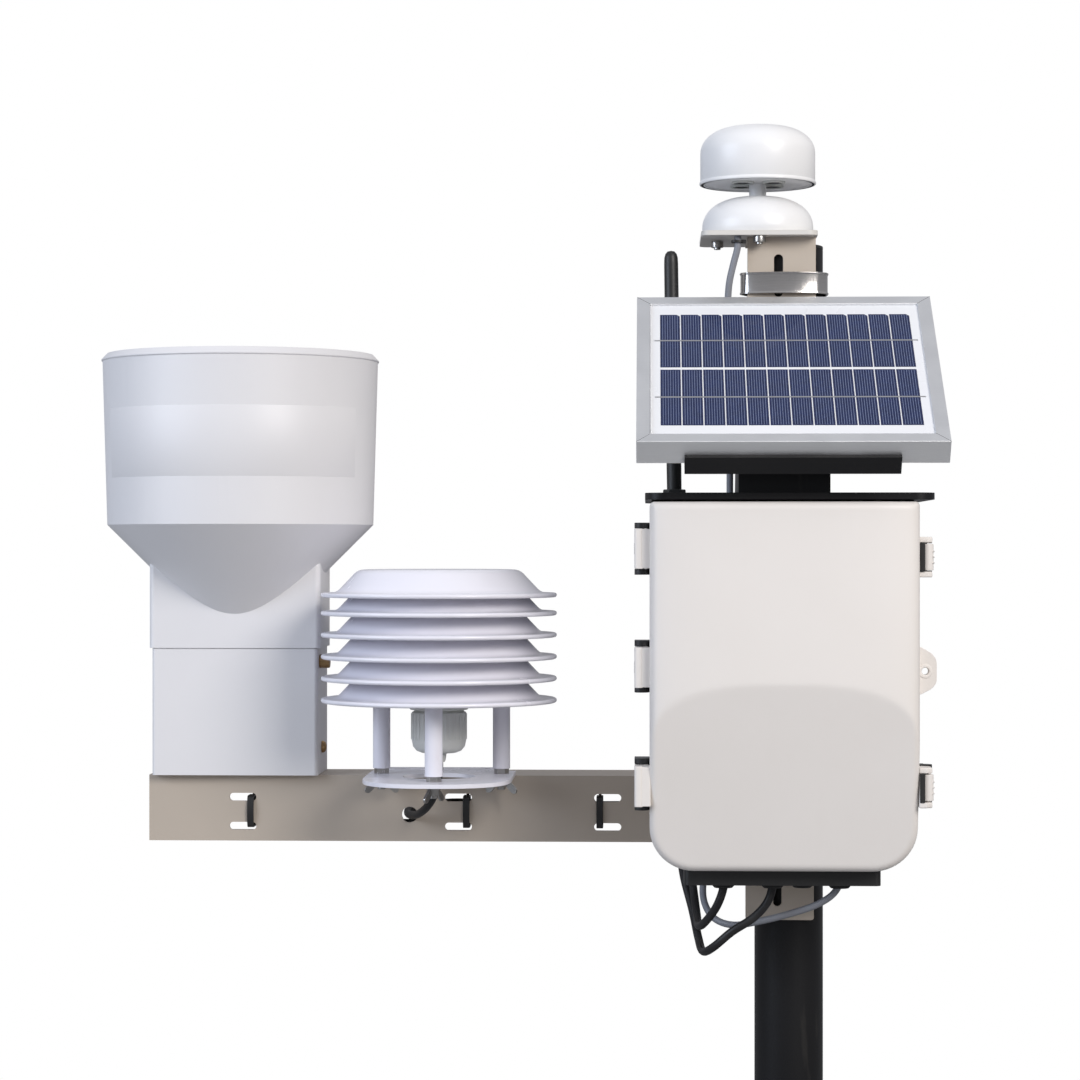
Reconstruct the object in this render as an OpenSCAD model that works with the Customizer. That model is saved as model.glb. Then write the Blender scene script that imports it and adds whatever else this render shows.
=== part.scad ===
// Pole-mounted weather station on a folding tripod.
// Origin: centre of the mast's foot on the ground. +Z up, front faces -Y.

/* [Mast and tripod] */
// Outside diameter of the mast
mast_d = 50.8; // [45:0.1:52]
// Height of the top of the mast above the ground
mast_top = 1424; // [1420:1:1424]
// Height of the leg pivots above the ground
pivot_z = 665; // [600:1:700]
// Distance of the leg pivots from the mast's axis
pivot_r = 62; // [60:1:70]
// Angle of each leg from the vertical
splay = 30; // [26:1:34]
// Outside diameter of a leg tube
leg_d = 25; // [22:1:28]

/* [Enclosure] */
// Width of the enclosure
case_w = 186.4; // [180:0.1:190]
// Height of the underside of the enclosure
case_low = 974; // [974:1:978]
// Height of the top of the enclosure
case_top = 1232; // [1228:1:1232]
// Depth of the base shell, behind the door
case_d = 88; // [86:1:92]
// Radius of the two lower corners
case_r = 31; // [25:1:34]
// Wall thickness of the shells
wall = 3; // [2.5:0.1:3.5]

/* [Solar panel] */
// Width of the panel frame
panel_w = 212.6; // [205:0.1:214]
// Length of the panel frame up the slope
panel_l = 185.8; // [180:0.1:187]
// Depth of the panel frame
panel_t = 18; // [16:1:18]
// Slope of the panel from the horizontal
panel_slope = 36.7; // [35:0.1:38]

/* [Rain gauge] */
// Outside diameter of the collecting rim
rim_d = 212; // [205:1:214]
// Height of the knife edge of the rim
rim_z = 1348; // [1340:1:1350]

/* [Radiation shield] */
// Diameter of the louvre plates
louvre_d = 174.7; // [165:0.1:176]
// Radius of the circle of posts
post_ring = 52; // [50:1:54]

/* [Hidden] */
$fn = 48;
MAST_R = mast_d / 2;
MAST_WALL = 2.5;
SNUG = 0.1;              // gap between pieces that are bolted together
RUN = 0.06;              // radial clearance of a running fit
LEG_ANGLES = [180, -60, 60];

// Plates on the mast
PLATE_T = 3;
PLATE_W = 50;
FRONT_Y = -(MAST_R + SNUG);          // rear face of the plates in front of the mast
REAR_Y = MAST_R + SNUG;              // front face of the plate behind the mast
BACK_PLATE_X = -8;
BRACKET_X = -6.5;
BAND_H = 15;
BAND_T = 1.2;

// Enclosure
CASE_X = -10.2;
CASE_BACK = FRONT_Y - PLATE_T - 7.5;
CASE_FRONT = CASE_BACK - case_d;
DOOR_BACK = CASE_FRONT - 0.4;
DOOR_FRONT = -164;
DOOR_BULGE = 12;                     // how far the door's front face falls back at its sides
DOOR_FOOT = -132;                    // front of the door at its lowest edge
SCOOP_Z = 1106;                      // where the sloping lower face starts, on the centre line
HINGE_Z = [1199.5, 1116.8, 1034.1];
HINGE_X = CASE_X - case_w / 2 - 5.6;
HINGE_Y = -120;
LATCH_Z = [1193.7, 1034];
LATCH_X = CASE_X + case_w / 2;
LATCH_PIVOT = [LATCH_X + 7, -108];
LOCK_Z = 1114;
LOCK_X = LATCH_X + 5.8;
ENTRY_Y = -94;
ENTRIES = [-51, -16, 5, 31.5];       // cable entries; the third one is spare
ENTRY_R = 3.8;
STRIP_Z = 962;

// Roof plate and panel
ROOF_X = -6.1;
ROOF_Z = case_top + 1.6;
ROOF_T = 4.8;
ROOF_TOP = ROOF_Z + ROOF_T;
ANTENNA = [-85, -12];
PEDESTAL_X = -10;
PEDESTAL_W = 63.6;
TILT_AXIS = [-105, 1292];            // y, z of the tilt bolts
PANEL_X = -6.2;
PANEL_C = [-119.5, 1327.5];          // y, z of the middle of the panel's face

// Wind sensor
WIND_X = -23;
WIND_LOW = 1428.5;
WIND_GAP = 1461;                     // top of the lower dome
WIND_RIM = 1470;                     // rim of the upper dome
WIND_TOP = 1513;

// Arm
ARM_LEFT = -483.5;
ARM_RIGHT = 40;
ARM_Z = 1002.8;
ARM_H = 50;
ARM_D = 58;
ARM_Y = REAR_Y + PLATE_T;            // front face of the arm's web
SLOT_X = [-412, -248, -135];
SLOT_L = 20.5;
SLOT_ROW = 11;
TIE_X = [-406, -242, -141];

// Rain gauge
RAIN = [-417, 53];
RAIN_SEAM = 1124;
RAIN_FLOOR = ARM_Z + ARM_H / 2 + 0.2;
CYL_LOW = 1217.7;
CYL_R = 101.5;
BUCKET_Z = 1070;
BUCKET_REST = 16;

// Radiation shield
SHIELD = [-259.3, -18];
LOUVRE_Z = [1165.3, 1151.9, 1135.8, 1119.7, 1103.6, 1087.5];
POSTS = [for (a = [-90, 30, 150]) [post_ring * cos(a), post_ring * sin(a)]];
BASE_Z = RAIN_FLOOR;
BASE_T = 3;

// Cable routes: by hand, in round numbers
PROBE_ROUTE = [
    [-259.3, -18, 1047], [-259.3, -18, 1034], [-262, -13, 1019], [-270, 0, 1006], [-279, 16, 999],
    [-286, 32, 998], [-287, 50, 1000], [-277, 62, 1002], [-261, 63, 1004], [-245, 56, 1005],
    [-224, 42, 1005], [-200, 37, 1005], [-170, 37, 1005], [-140, 37, 1005], [-112, 37, 1005],
    [-96, 34, 1004], [-86, 28, 1002], [-80, 16, 996], [-77, 0, 985], [-74, -16, 968], [-71, -34, 948], [-69, -52, 933],
    [-68, -68, 928], [-64, -82, 932], [-56, -91, 944], [-51, -94, 958], [-51, -94, 970]];
RAIN_ROUTE = [
    [-375, 69, 1034], [-375, 69, 1020], [-371, 66, 1008], [-358, 58, 999], [-338, 46, 996],
    [-315, 38, 996], [-290, 36, 991], [-265, 37, 994], [-235, 37, 996], [-200, 37, 996], [-170, 37, 996],
    [-140, 37, 996], [-117, 37, 996], [-100, 34, 995], [-90, 27, 993], [-84, 14, 987], [-81, -3, 976], [-78, -19, 957],
    [-72, -36, 935], [-68, -54, 917], [-65, -72, 910], [-58, -87, 915], [-45, -94, 927], [-30, -95, 937],
    [-20, -95, 948], [-16, -94, 960], [-16, -94, 970]];
WIND_ROUTE = [
    [-39, -34, 1430], [-39, -34, 1420], [-42, -33, 1408], [-45, -31, 1394], [-46, -27, 1378],
    [-46, -20, 1360], [-45, -14, 1335], [-44, -12, 1300], [-44, -12, 1236], [-44, -12, 1190],
    [-45, -12, 1140], [-45, -12, 1090], [-46, -12, 1040], [-49, -12, 1000], [-56, -18, 978],
    [-63, -30, 960], [-64, -44, 944], [-57, -56, 932], [-43, -65, 928], [-24, -73, 932], [-4, -80, 938],
    [14, -87, 945], [26, -92, 953], [31.5, -94, 962], [31.5, -94, 971]];
CORD_D = 6;
WIND_CORD_D = 5;

WHITE = [0.93, 0.93, 0.92];
GREIGE = [0.70, 0.66, 0.61];
BLACK = [0.08, 0.08, 0.09];
STEEL = [0.75, 0.75, 0.76];

// ---------- helpers ----------

// Extrude an outline drawn in Y, Z along X
module along_x(x0, x1) {
    translate([x0, 0, 0]) rotate([90, 0, 90]) linear_extrude(x1 - x0) children();
}

// Extrude an outline drawn in X, Z along Y
module along_y(y0, y1) {
    translate([0, y1, 0]) rotate([90, 0, 0]) linear_extrude(y1 - y0) children();
}

// Extrude an outline drawn in X, Y along Z
module along_z(z0, z1) {
    translate([0, 0, z0]) linear_extrude(z1 - z0) children();
}

module rod_x(p, r, l) {
    translate(p) rotate([0, 90, 0]) cylinder(r = r, h = l);
}

module rod_y(p, r, l) {
    translate(p) rotate([-90, 0, 0]) cylinder(r = r, h = l);
}

module rod_z(p, r, l) {
    translate(p) cylinder(r = r, h = l);
}

module hex_z(p, r, l) {
    translate(p) cylinder(r = r, h = l, $fn = 6);
}

// Rectangle with rounded corners, centred
module round_rect(w, h, r) {
    square([w - 2 * r, h], center = true);
    square([w, h - 2 * r], center = true);
    for (x = [-1, 1], y = [-1, 1]) {
        translate([x * (w / 2 - r), y * (h / 2 - r)]) circle(r = r);
    }
}

// Slot with round ends, centred, long way along X
module oblong(l, w) {
    square([l - w, w], center = true);
    for (s = [-1, 1]) translate([s * (l - w) / 2, 0]) circle(r = w / 2);
}

// Move a convex outline's edges outwards by d
function unit(v) = v / norm(v);
function edge_out(a, b) = let (e = unit(b - a)) [e.y, -e.x];
function grow(p, d) = let (n = len(p)) [
    for (i = [0 : n - 1])
        let (a = edge_out(p[(i + n - 1) % n], p[i]), b = edge_out(p[i], p[(i + 1) % n]))
            p[i] + d * (a + b) / (1 + a * b)];

// Half of a superellipse, from (w, 0) over (0, h) to (-w, 0)
function arch(w, h, power, n) = [
    for (i = [0 : n])
        let (a = 180 * i / n, c = cos(a), s = sin(a))
            [w * sign(c) * pow(abs(c), 2 / power), h * pow(max(s, 0), 2 / power)]];

// Smooth curve through a cable's points, then a tube along it
function curve_at(a, b, c, d, t) =
    0.5 * (2 * b + (c - a) * t + (2 * a - 5 * b + 4 * c - d) * t * t + (3 * b - a - 3 * c + d) * t * t * t);
function smooth_path(p, n) = let (m = len(p)) concat(
    [for (i = [0 : m - 2], k = [0 : n - 1])
        curve_at(p[max(i - 1, 0)], p[i], p[i + 1], p[min(i + 2, m - 1)], k / n)],
    [p[m - 1]]);
function tangents(q) = [for (i = [0 : len(q) - 1]) unit(q[min(i + 1, len(q) - 1)] - q[max(i - 1, 0)])];
function side_vectors(t, i, u) = i >= len(t) ? [] :
    let (v = unit(u - (u * t[i]) * t[i])) concat([v], side_vectors(t, i + 1, v));

module cord(route, d, steps, edges) {
    q = smooth_path(route, steps);
    t = tangents(q);
    s = side_vectors(t, 0, [1, 0, 0]);
    last = len(q) - 1;
    points = [for (i = [0 : last], k = [0 : edges - 1])
        let (a = 360 * k / edges) q[i] + d / 2 * (cos(a) * s[i] + sin(a) * cross(t[i], s[i]))];
    skin = [for (i = [0 : last - 1], k = [0 : edges - 1])
        let (m = (k + 1) % edges)
            [i * edges + k, (i + 1) * edges + k, (i + 1) * edges + m, i * edges + m]];
    start = [for (k = [0 : edges - 1]) k];
    end = [for (k = [edges - 1 : -1 : 0]) last * edges + k];
    polyhedron(points = points, faces = concat(skin, [start], [end]), convexity = 8);
}

// ---------- mast and tripod ----------

module mast() {
    color(BLACK) difference() {
        rod_z([0, 0, 6], MAST_R, mast_top - 9);
        rod_z([0, 0, 5], MAST_R - MAST_WALL, mast_top);
    }
}

module mast_cap() {
    color(BLACK) {
        rod_z([0, 0, mast_top - 3], MAST_R, 3);
        rod_z([0, 0, mast_top - 19], MAST_R - MAST_WALL - SNUG, 17);
    }
}

module mast_foot() {
    color(BLACK) {
        cylinder(r = 32, h = 6);
        cylinder(r = MAST_R - MAST_WALL - SNUG, h = 36);
    }
}

EAR_GAP = 7.3;
EAR_T = 6;
EAR_R = 14;
HUB_R = 36;
PIN_R = 4;

module hub_ear() {
    for (s = [-1, 1]) {
        y = s > 0 ? EAR_GAP : -EAR_GAP - EAR_T;
        along_y(y, y + EAR_T) {
            translate([30, pivot_z - EAR_R]) square([pivot_r - 30, 2 * EAR_R]);
            translate([pivot_r, pivot_z]) circle(r = EAR_R);
        }
    }
    // The leg's heel comes to rest against this pad
    translate([30, -6.5, pivot_z + 2]) cube([pivot_r - 17.1 - 30, 13, 14]);
}

module tripod_hub() {
    color(BLACK) difference() {
        union() {
            rod_z([0, 0, pivot_z - 25], HUB_R, 50);
            for (a = LEG_ANGLES) rotate([0, 0, a]) hub_ear();
            for (a = [0, 120]) rotate([0, 0, a]) rod_x([30, 0, pivot_z], 9, 14);
        }
        rod_z([0, 0, pivot_z - 30], MAST_R + SNUG, 60);
        for (a = LEG_ANGLES) rotate([0, 0, a]) rod_y([pivot_r, -20, pivot_z], PIN_R + 0.1, 40);
        for (a = [0, 120]) rotate([0, 0, a]) rod_x([MAST_R - 2, 0, pivot_z], PIN_R + 0.1, 30);
    }
}

module hub_knobs() {
    color(BLACK) for (a = [0, 120]) rotate([0, 0, a]) {
        rod_x([MAST_R + SNUG, 0, pivot_z], PIN_R, 24);
        rod_x([48, 0, pivot_z], 15, 14);
    }
}

module leg_bolts() {
    color(STEEL) for (a = LEG_ANGLES) rotate([0, 0, a]) translate([pivot_r, 0, pivot_z]) {
        rod_y([0, -17, 0], PIN_R, 34);
        rod_y([0, -EAR_GAP - EAR_T - 5, 0], 7, 4.9);
        rod_y([0, EAR_GAP + EAR_T + 0.1, 0], 7, 5);
    }
}

module leg() {
    reach = pivot_z / cos(splay);
    foot_r = pivot_r + (pivot_z - 2) * tan(splay);
    difference() {
        union() {
            translate([pivot_r, 0, pivot_z]) rotate([0, -splay, 0]) {
                along_y(-7, 7) {
                    circle(r = 13);
                    translate([-10, -50]) square([20, 50]);
                    translate([-10, 0]) square([10, 16]);
                }
                difference() {
                    rod_z([0, 0, -reach - 10], leg_d / 2, reach - 14);
                    rod_z([0, 0, -reach - 20], leg_d / 2 - 2, reach - 30);
                }
            }
            translate([foot_r - 28, -30, 0]) cube([70, 60, 5]);
        }
        translate([pivot_r - 20, -60, -50]) cube([600, 120, 50]);
        translate([pivot_r, 0, pivot_z]) rod_y([0, -10, 0], PIN_R + RUN, 20);
        rod_z([foot_r + 29, 0, -1], 4.5, 10);
    }
}

module leg_left() {
    color(BLACK) rotate([0, 0, LEG_ANGLES[0]]) leg();
}

module leg_front() {
    color(BLACK) rotate([0, 0, LEG_ANGLES[1]]) leg();
}

module leg_back() {
    color(BLACK) rotate([0, 0, LEG_ANGLES[2]]) leg();
}

// ---------- plates and bands on the mast ----------

module back_plate() {
    color(GREIGE) {
        difference() {
            along_y(FRONT_Y - PLATE_T, FRONT_Y) translate([BACK_PLATE_X, 1076.5]) round_rect(PLATE_W, 299, 2);
            along_y(FRONT_Y - 5, FRONT_Y + 1) {
                for (z = [945, 1208]) translate([BACK_PLATE_X - 1.6, z]) rotate(90) oblong(16, 6.2);
            }
        }
        for (x = [-20, 20], z = [1000, 1200]) rod_y([BACK_PLATE_X + x, CASE_BACK, z], 6, 7.6);
    }
}

// Inside outlines of the bands, counter-clockwise
ARM_BAND = [
    [-33.3, -28.8], [17.3, -28.8], [24.6, -12], [26, -4], [26.2, 6], [25.6, 28.8], [-25.3, 28.8]];
WIND_BAND = concat(
    [[-32.2, -28.8], [18.9, -28.8], [22.5, -27.8], [25.5, -24.5], [26.6, -19]],
    [for (a = [0 : 15 : 180]) [26.4 * cos(a), 26.4 * sin(a)]],
    [[-35, -16], [-35.6, -22], [-34.8, -26.5]]);

module band(outline, z, h) {
    along_z(z - h / 2, z + h / 2) difference() {
        polygon(grow(outline, BAND_T));
        polygon(outline);
    }
}

module mast_bands() {
    color(STEEL) {
        for (z = [961.5, 1052]) {
            band(ARM_BAND, z, BAND_H);
            translate([27, -6, z - 8]) cube([9, 20, 16]);
            rod_y([32, -10, z], 4, 28);
        }
        band(WIND_BAND, 1394.4, 15.8);
        translate([-38, -10, 1386]) cube([7, 16, 16.8]);
    }
}

// ---------- arm ----------

module arm_channel() {
    top = ARM_Z + ARM_H / 2;
    color(GREIGE) difference() {
        union() {
            translate([ARM_LEFT, ARM_Y, ARM_Z - ARM_H / 2]) cube([ARM_RIGHT - ARM_LEFT, ARM_D, ARM_H]);
            translate([-25, REAR_Y, 944]) cube([50, PLATE_T, 118]);
        }
        translate([ARM_LEFT - 1, ARM_Y + 3, ARM_Z - ARM_H / 2 + 3])
            cube([ARM_RIGHT - ARM_LEFT + 2, ARM_D, ARM_H - 6]);
        along_y(ARM_Y - 1, ARM_Y + 4) {
            for (x = SLOT_X, s = [-1, 1]) {
                translate([x, ARM_Z - 2.8 + s * SLOT_ROW]) oblong(SLOT_L, 6);
            }
            translate([-285, 998]) circle(r = 6);
            translate([-92, 999]) circle(r = 11.5);
        }
        for (x = [-45, 45]) rod_z([RAIN.x + x, RAIN.y, top - 4], 3.1, 5);
        for (x = [-28, 28]) rod_z([RAIN.x + x, RAIN.y, top - 4], 5, 5);
        rod_z([-375, 69, top - 4], 6, 5);
        for (x = [-32, 32]) rod_z([SHIELD.x + x, 57, top - 4], 3.1, 5);
    }
}

module flange_bolt(x, y, head_z) {
    low = ARM_Z + ARM_H / 2 - 3;
    rod_z([x, y, low - 8], 3, head_z - low + 8);
    hex_z([x, y, low - 5.1], 5.6, 5);
    hex_z([x, y, head_z], 5.6, 4);
}

module arm_bolts() {
    color(STEEL) {
        for (x = [-45, 45]) flange_bolt(RAIN.x + x, RAIN.y, RAIN_FLOOR + 4.1);
        for (x = [-32, 32]) {
            low = ARM_Z + ARM_H / 2 - 3;
            rod_z([SHIELD.x + x, 57, low - 5], 3, BASE_Z + BASE_T - 0.4 - low + 5);
            hex_z([SHIELD.x + x, 57, low - 5.1], 5.6, 5);
        }
    }
}

module zip_ties() {
    color(BLACK) for (x = TIE_X) along_x(x - 2.6, x + 2.6) difference() {
        translate([ARM_Y - 1.4, 988]) square([18, 24]);
        translate([ARM_Y - 0.1, 989.4]) square([15.3, 21.2]);
    }
}

// ---------- enclosure ----------

// Front view of the enclosure, moved inwards by t
module case_outline(t) {
    half = case_w / 2 - t;
    low = case_low + t;
    top = case_top - t;
    r = case_r - t;
    rt = 6 - min(t, 3);
    translate([CASE_X - half, low + r]) square([2 * half, top - low - r - rt]);
    translate([CASE_X - half + r, low]) square([2 * (half - r), top - low]);
    translate([CASE_X - half + rt, low + r]) square([2 * (half - rt), top - low - r]);
    for (s = [-1, 1]) {
        translate([CASE_X + s * (half - r), low + r]) circle(r = r);
        translate([CASE_X + s * (half - rt), top - rt]) circle(r = rt);
    }
}

// The door's solid form, moved inwards by t: front view, plan and side view together
module door_form(t) {
    half = case_w / 2 - t;
    fall = (DOOR_FOOT - DOOR_FRONT) / (SCOOP_Z - case_low);
    front = arch(half, DOOR_BULGE, 2.8, 28);
    plan = [for (p = front) [CASE_X - p.x, DOOR_FRONT + t + DOOR_BULGE - p.y]];
    slope_in = t * sqrt(1 + fall * fall);
    intersection() {
        along_y(DOOR_FRONT - 10, DOOR_BACK) case_outline(t);
        along_z(case_low - 10, case_top + 10)
            polygon(concat(plan, [[CASE_X + half, DOOR_BACK + 20], [CASE_X - half, DOOR_BACK + 20]]));
        along_x(-150, 150) polygon([
            [DOOR_BACK + 20, case_low - 10],
            [DOOR_FOOT + 10 * fall + slope_in, case_low - 10],
            [DOOR_FRONT - 10 + slope_in, SCOOP_Z + 10 / fall],
            [DOOR_FRONT - 10, case_top + 10],
            [DOOR_BACK + 20, case_top + 10]]);
    }
}

module lock_tab(y) {
    along_y(y, y + 3.2) difference() {
        union() {
            translate([LATCH_X - 2, LOCK_Z - 16]) square([4, 32]);
            polygon([
                [LATCH_X, LOCK_Z - 17], [LATCH_X + 10.5, LOCK_Z - 12.2], [LATCH_X + 13.8, LOCK_Z - 8],
                [LATCH_X + 13.8, LOCK_Z + 8], [LATCH_X + 10.5, LOCK_Z + 12.4], [LATCH_X, LOCK_Z + 17.5]]);
        }
        translate([LOCK_X, LOCK_Z]) circle(r = 2.5);
    }
}

module enclosure_base() {
    color(WHITE) difference() {
        union() {
            along_y(CASE_FRONT, CASE_BACK) case_outline(0);
            lock_tab(CASE_FRONT);
        }
        along_y(CASE_FRONT - 1, CASE_BACK - 4) case_outline(wall);
        for (x = ENTRIES) rod_z([x, ENTRY_Y, case_low - 5], ENTRY_R, 12);
        for (x = ROOF_SCREWS_X, y = ROOF_SCREWS_Y) rod_z([x, y, case_top - 6], 2.1, 10);
    }
}

ROOF_SCREWS_X = [-70, 58];
ROOF_SCREWS_Y = [-110, -50];

module hinge_leaf(z) {
    difference() {
        along_z(z - 14, z + 14) {
            translate([HINGE_X, HINGE_Y]) circle(r = 5);
            translate([HINGE_X - 5, DOOR_BACK - 2]) square([10, HINGE_Y - DOOR_BACK + 2]);
            translate([HINGE_X - 5, HINGE_Y - 26]) square([7, 22]);
            translate([HINGE_X - 5, HINGE_Y - 26]) square([11, HINGE_Y - DOOR_BACK + 17]);
        }
        rod_z([HINGE_X, HINGE_Y, z - 15], 2 + RUN, 30);
    }
}

module enclosure_door() {
    color(WHITE) {
        difference() {
            door_form(0);
            difference() {
                door_form(wall);
                translate([-200, DOOR_FRONT - 20, 900]) cube([1, 1, 1]);
            }
            along_y(DOOR_BACK - 1, DOOR_BACK + 1) case_outline(wall);
        }
        for (z = HINGE_Z) hinge_leaf(z);
        lock_tab(DOOR_BACK - 3.3);
    }
}

module door_gasket() {
    color(BLACK) along_y(CASE_FRONT + 0.1, CASE_FRONT + 5) difference() {
        case_outline(wall);
        case_outline(wall + 4);
    }
}

module hinge_brackets() {
    color(BLACK) for (z = HINGE_Z) difference() {
        union() {
            for (s = [-1, 1]) {
                along_z(z + s * 16.3 - 2, z + s * 16.3 + 2) {
                    translate([HINGE_X, HINGE_Y]) circle(r = 5);
                    translate([HINGE_X - 5, HINGE_Y]) square([10.6, 16]);
                }
            }
            translate([HINGE_X + 3.6, HINGE_Y + 8, z - 18.3]) cube([2, 8, 36.6]);
        }
        rod_z([HINGE_X, HINGE_Y, z - 20], 1.9, 40);
    }
    // The pins are riveted into the brackets' ears
    color(STEEL) for (z = HINGE_Z) rod_z([HINGE_X, HINGE_Y, z - 18.3], 2, 36.6);
}

module latch_keepers() {
    for (z = LATCH_Z) {
        color(WHITE) for (s = [-1, 1]) {
            along_z(z + s * 12 - 2, z + s * 12 + 2) {
                translate([LATCH_X, -146]) square([6, 18]);
                translate([LATCH_X, -144]) square([9.2, 14]);
            }
        }
        color(BLACK) translate([LATCH_X, -144, z - 10]) cube([1.6, 16, 20]);
    }
}

module latch_brackets() {
    p = LATCH_PIVOT;
    color(BLACK) for (z = LATCH_Z) {
        difference() {
            for (s = [-1, 1]) {
                along_z(z + s * 11.6 - 2, z + s * 11.6 + 2) {
                    translate(p) circle(r = 5.4);
                    translate([LATCH_X, p.y - 3]) square([7, 12]);
                }
            }
            rod_z([p.x, p.y, z - 15], 2.02, 30);
        }
        translate([LATCH_X, p.y + 6.5, z - 13.6]) cube([2, 6, 27.2]);
        rod_z([p.x, p.y, z - 13.6], 2, 27.2);
    }
}

module latch_lever(z) {
    p = LATCH_PIVOT;
    color(WHITE) difference() {
        along_z(z - 9.1, z + 9.1) {
            translate(p) circle(r = 4.6);
            translate([p.x - 3.6, p.y - 32]) square([4.4, 32]);
            translate([p.x - 0.9, p.y - 33]) circle(r = 4.1);
        }
        rod_z([p.x, p.y, z - 12], 2 + RUN, 24);
    }
}

module latch_lever_upper() {
    latch_lever(LATCH_Z[0]);
}

module latch_lever_lower() {
    latch_lever(LATCH_Z[1]);
}

module gland_strip() {
    color(BLACK) difference() {
        along_z(STRIP_Z, case_low) translate([-9.8, -87]) round_rect(138.4, 50, 4);
        for (x = ENTRIES) rod_z([x, ENTRY_Y, STRIP_Z - 5], ENTRY_R, 30);
    }
}

module battery() {
    color([0.2, 0.22, 0.25]) {
        translate([-70, -80, case_low + wall]) cube([120, 40, 96]);
        for (x = [-52, 32]) translate([x - 4, -64, case_low + wall + 96]) cube([8, 6, 6]);
    }
}

module logger_box() {
    color([0.25, 0.35, 0.45]) {
        translate([-70, -62, 1106]) cube([120, 22, 100]);
        for (k = [0 : 5]) translate([-60 + 18 * k, -68, 1110]) cube([12, 6, 10]);
    }
}

module roof_plate() {
    color(BLACK) difference() {
        union() {
            along_z(ROOF_Z, ROOF_TOP) translate([ROOF_X, -58]) round_rect(201, 184, 14);
            translate([-102, -122, case_top]) cube([183.6, 84, 2]);
        }
        rod_z([0, 0, ROOF_Z - 5], MAST_R + SNUG, 20);
        rod_z([-44, -12, ROOF_Z - 5], 6, 20);
        rod_z([ANTENNA.x, ANTENNA.y, ROOF_Z - 5], 4.1, 20);
        for (x = ROOF_SCREWS_X, y = ROOF_SCREWS_Y) rod_z([x, y, case_top - 6], 2.1, 30);
    }
}

module case_screws() {
    color(STEEL) for (x = ROOF_SCREWS_X, y = ROOF_SCREWS_Y) {
        rod_z([x, y, case_top - 6], 2, ROOF_TOP - case_top + 5.9);
    }
}

module antenna() {
    color(BLACK) translate([ANTENNA.x, ANTENNA.y, 0]) {
        rod_z([0, 0, ROOF_Z - 9], 4, ROOF_T + 9);
        hex_z([0, 0, ROOF_Z - 5], 7, 4.9);
        hex_z([0, 0, ROOF_TOP], 8.5, 5);
        translate([0, 0, ROOF_TOP + 3]) rotate([0, -0.8, 0]) rod_z([0, 0, 0], 5.4, 179);
    }
}

// ---------- solar panel ----------

// Panel frame of reference: X across, Y up the slope, Z out of the glass
module on_panel() {
    translate([PANEL_X, PANEL_C.x, PANEL_C.y]) rotate([panel_slope, 0, 0]) children();
}

TILT_LOCAL = let (d = TILT_AXIS - PANEL_C, c = cos(panel_slope), s = sin(panel_slope))
    [d.x * c + d.y * s, -d.x * s + d.y * c];

module panel_pedestal() {
    half = PEDESTAL_W / 2;
    color(BLACK) difference() {
        union() {
            for (s = [-1, 1]) {
                x = PEDESTAL_X + s * (half - 1.5);
                along_x(x - 1.5, x + 1.5) {
                    polygon([
                        [-145, ROOF_TOP], [-145, 1257], [-113, TILT_AXIS.y + 7], [-97, TILT_AXIS.y + 7],
                        [-66, 1252], [-60, ROOF_TOP]]);
                    translate(TILT_AXIS) circle(r = 11);
                }
            }
            translate([PEDESTAL_X - half, -145, ROOF_TOP]) cube([PEDESTAL_W, 3, 1257 - ROOF_TOP]);
            translate([PEDESTAL_X - half, -145, ROOF_TOP]) cube([PEDESTAL_W, 85, 3]);
        }
        rod_x([PEDESTAL_X - 50, TILT_AXIS.x, TILT_AXIS.y], PIN_R + 0.1, 100);
    }
}

module tilt_bolts() {
    half = PEDESTAL_W / 2;
    color(STEEL) for (s = [-1, 1]) {
        outer = PEDESTAL_X + s * (half + 5);
        inner = PEDESTAL_X + s * (half - 12);
        rod_x([min(outer, inner), TILT_AXIS.x, TILT_AXIS.y], PIN_R, 17);
        x = s > 0 ? PEDESTAL_X + half + 0.1 : PEDESTAL_X - half - 4.9;
        rod_x([x, TILT_AXIS.x, TILT_AXIS.y], 7.5, 4.8);
    }
}

module panel_cradle() {
    ear_x = PEDESTAL_X - PANEL_X;
    half = PEDESTAL_W / 2;
    under = -panel_t - 0.2;
    color(BLACK) on_panel() difference() {
        union() {
            translate([-32, -panel_l / 2 - 3, under - 3]) cube([64, panel_l - 2, 3]);
            translate([-73.5, -panel_l / 2 - 3.6, under - 6.2]) cube([147, 26, 6.2]);
            translate([-73.5, -panel_l / 2 - 3.6, under - 6.2]) cube([147, 3.3, 13.6]);
            for (s = [-1, 1]) {
                x = ear_x + s * (half - 5.1);
                along_x(x - 1.6, x + 1.6) {
                    translate(TILT_LOCAL) circle(r = 9);
                    translate([TILT_LOCAL.x - 9, TILT_LOCAL.y]) square([18, under - 1 - TILT_LOCAL.y]);
                }
            }
        }
        rod_x([-100, TILT_LOCAL.x, TILT_LOCAL.y], PIN_R + RUN, 200);
    }
}

module panel_frame() {
    color(STEEL) on_panel() difference() {
        translate([-panel_w / 2, -panel_l / 2, -panel_t]) cube([panel_w, panel_l, panel_t]);
        translate([-panel_w / 2 + 9.8, -panel_l / 2 + 9.8, -5]) cube([panel_w - 19.6, panel_l - 19.6, 10]);
        translate([-panel_w / 2 + 2, -panel_l / 2 + 2, -panel_t + 2])
            cube([panel_w - 4, panel_l - 4, panel_t - 3.6]);
        translate([-panel_w / 2 + 16, -panel_l / 2 + 16, -panel_t - 1])
            cube([panel_w - 32, panel_l - 32, 10]);
    }
}

module panel_laminate() {
    color([0.1, 0.15, 0.35]) on_panel()
        translate([-panel_w / 2 + 2.2, -panel_l / 2 + 2.2, -5.7]) cube([panel_w - 4.4, panel_l - 4.4, 4]);
}

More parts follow.
